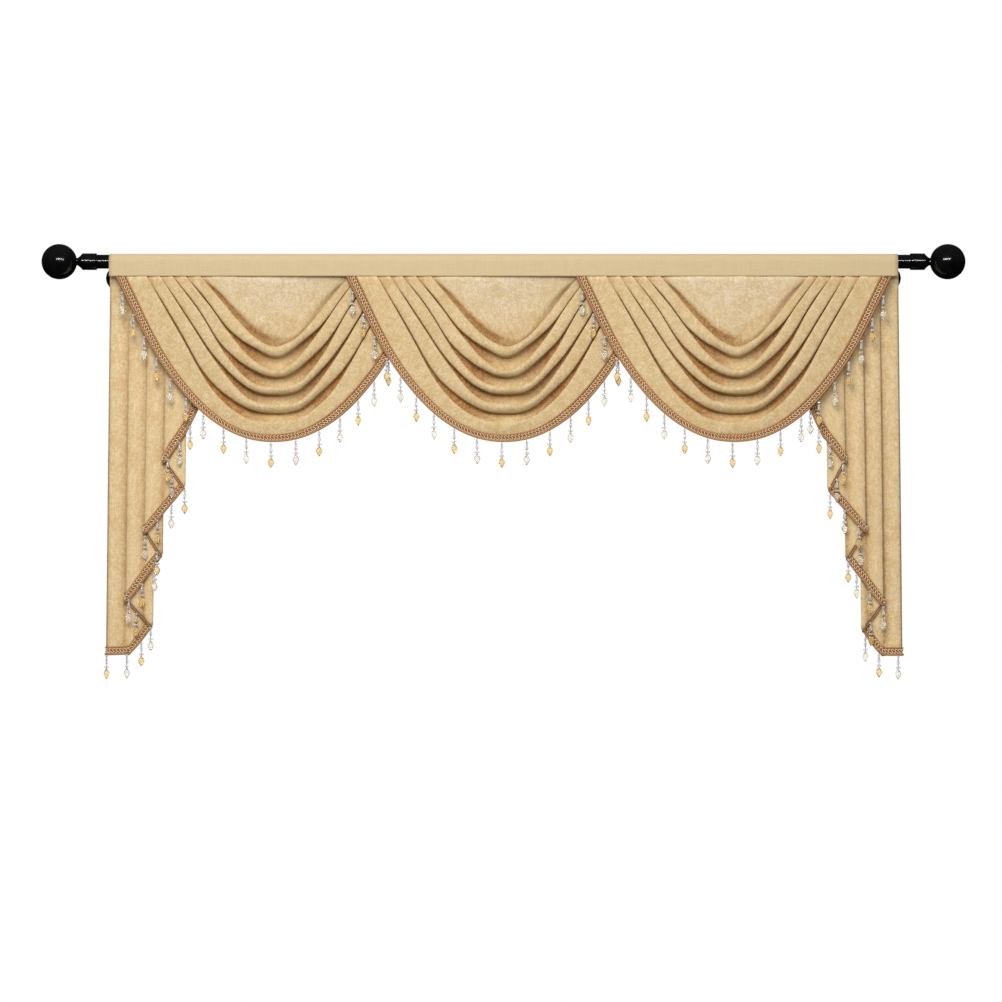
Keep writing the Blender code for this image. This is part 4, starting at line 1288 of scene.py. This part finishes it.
def even_places(lengths, first, pitch, count):
    """Indices and shares of the places that lie at even distances along a run of measured steps."""
    ends = np.cumsum(lengths)
    places = []
    for number in range(count):
        wanted = first + number * pitch
        index = int(np.searchsorted(ends, wanted))
        places.append((index, 1.0 - (ends[index] - wanted) / lengths[index]))
    return places


def swag_roots(swag, hem, across):
    """Where each strand hangs, at even places along the hem. The last ones lie under the next swag."""
    line = [line_point(HEM_LINE, mix(-1.0, 1.0, step / HEM_STEPS)) for step in range(HEM_STEPS + 1)]
    lengths = [(after - before).length for before, after in zip(line, line[1:])]
    kept = across[np.abs(across) <= BRAID_ENDS_AT]
    roots = []
    for index, part in even_places(lengths, SWAG_TASSEL_FIRST, SWAG_TASSEL_PITCH, SWAG_TASSELS):
        share = -1.0 + 2.0 * (index + part) / HEM_STEPS
        x, y, z = [float(np.interp(share, kept, hem[1][:, k])) for k in range(3)]
        is_hidden = swag[3] > 0.0 and share > HIDDEN_FROM
        roots.append((x, y + (HIDDEN_TASSEL_BACK if is_hidden else -TASSEL_FORWARD), z - SWAG_TASSEL_LOWER))
    return roots


def jabot_roots(jabot):
    """The same along a jabot's folded hem, before or behind its cloth."""
    _, _, _, first, pitch, points = jabot
    layer = 0
    corners = []
    for out, drop, fold in points:
        corners.append((out * MM, drop * MM, layer))
        if fold:
            layer += 1
            corners.append((out * MM, drop * MM, layer))
    lengths = []
    for here, after in zip(corners, corners[1:]):
        same = here[2] == after[2]
        lengths.append(math.hypot(after[0] - here[0], after[1] - here[1]) if same else 0.0)
    roots = []
    for index, share in even_places(lengths, first, pitch, JABOT_TASSELS):
        here = corners[index]
        after = corners[index + 1]
        column = np.array([[mix(here[0], after[0], share), mix(here[1], after[1], share), here[2], 0.0]])
        slope = (after[1] - here[1]) / (after[0] - here[0])
        past = JABOT_BRAID_PAST_HEM * math.sqrt(1.0 + slope * slope) - ROOT_ABOVE_BRAID_EDGE
        x, y, z = jabot_surface(jabot, column, column[:, 1] + past)[0, :3]
        front = (BRAID_NEAR + BRAID_FAR) / 2
        roots.append((x, y - TASSEL_FORWARD - (front if here[2] % 2 == 0 else -front), z))
    return roots


# Studio


def camera():
    made = linked("camera", bpy.data.cameras.new("camera"))
    made.data.lens = CAMERA_LENS
    made.data.sensor_width = 36.0
    made.data.clip_end = 60.0
    made.location = CAMERA_PLACE
    made.rotation_euler = (math.radians(90.0), 0.0, 0.0)
    bpy.context.scene.camera = made


def world():
    """Soft light from above, dim in reflections, and plain white to the camera, also through glass."""
    made = bpy.data.worlds.new("studio")
    made.use_nodes = True
    tree = made.node_tree
    light = tree.nodes["Background"]
    direction = added(tree, "ShaderNodeTexCoord")["Generated"]
    height = added(tree, "ShaderNodeSeparateXYZ", {0: direction})["Z"]
    path = added(tree, "ShaderNodeLightPath")
    strength = remap(tree, height, -0.3, 1.0, WORLD_LOW, WORLD_HIGH)
    cut = math_node(tree, "MULTIPLY", path["Is Glossy Ray"], WORLD_CUT_IN_REFLECTIONS)
    strength = math_node(tree, "MULTIPLY", strength, math_node(tree, "SUBTRACT", 1.0, cut))
    fill(tree, light, {"Color": (1.0, 0.99, 0.97, 1.0), "Strength": strength})
    seen = added(tree, "ShaderNodeBackground", {"Color": (1.0, 1.0, 1.0, 1.0)})[0]
    through = math_node(tree, "MAXIMUM", path["Is Camera Ray"], path["Is Transmission Ray"])
    choice = added(tree, "ShaderNodeMixShader", {0: through, 1: light.outputs[0], 2: seen})[0]
    fill(tree, tree.nodes["World Output"], {"Surface": choice})
    bpy.context.scene.world = made


def studio():
    bpy.context.scene.view_settings.view_transform = "Standard"
    camera()
    world()
    for name, shape, place, size, power, is_mirrored in LIGHTS:
        light = linked(name, bpy.data.lights.new(name, "AREA"))
        light.data.shape = shape
        light.data.size, light.data.size_y = size
        light.data.energy = power
        light.visible_glossy = is_mirrored
        light.location = place
        light.rotation_euler = (LIGHTS_AIM - Vector(place)).to_track_quat("-Z", "Y").to_euler()
    finish, _, _ = material("pale_floor", {"Roughness": 0.7, "Base Color": (0.82, 0.82, 0.8, 1.0)})
    points = []
    for side in range(FLOOR_SIDES):
        turn = math.tau * side / FLOOR_SIDES
        points.append((FLOOR_RADIUS * math.cos(turn), FLOOR_RADIUS * math.sin(turn), FLOOR_Z))
    floor = mesh_piece("floor", points, [tuple(range(FLOOR_SIDES))], finish)
    floor.visible_glossy = False


def trimmed(name, made, first_is_amber, seed, shapes, trees, finishes):
    cloth, flat, area, hem, roots = made
    dressed(cloth, name)
    pieces = braid_pieces(name, hem, shapes, trees, finishes)
    pieces += tassel_pieces(name, roots, first_is_amber, shapes, trees, finishes, seed)
    for piece in pieces:
        dressed(piece)
    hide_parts(name + "_braid")


def main():
    finishes = all_finishes()
    trees = {"copies": copies_tree(), "cord": cord_tree()}
    shapes = tassel_shapes()
    shapes["loop"] = loop_shape()
    studio()

    for name in ("bracket_left", "bracket_right"):
        node = frame["nodes"][name]
        node.data.materials.clear()
        node.data.materials.append(finishes["black"])
    pole_pieces(finishes["black"])
    heading_sleeve(finishes["heading"])

    for number, swag in enumerate(SWAGS):
        made = swag_piece(swag, finishes["swag"], number + 1)
        trimmed(swag[0], made, False, number + 20, shapes, trees, finishes)
    for number, jabot in enumerate(JABOTS):
        made = jabot_piece(jabot, finishes["jabot"], number + 5)
        trimmed(jabot[0], made, jabot[1] < 0, number + 40, shapes, trees, finishes)

    for shape in shapes.values():
        bpy.data.objects.remove(shape)


main()
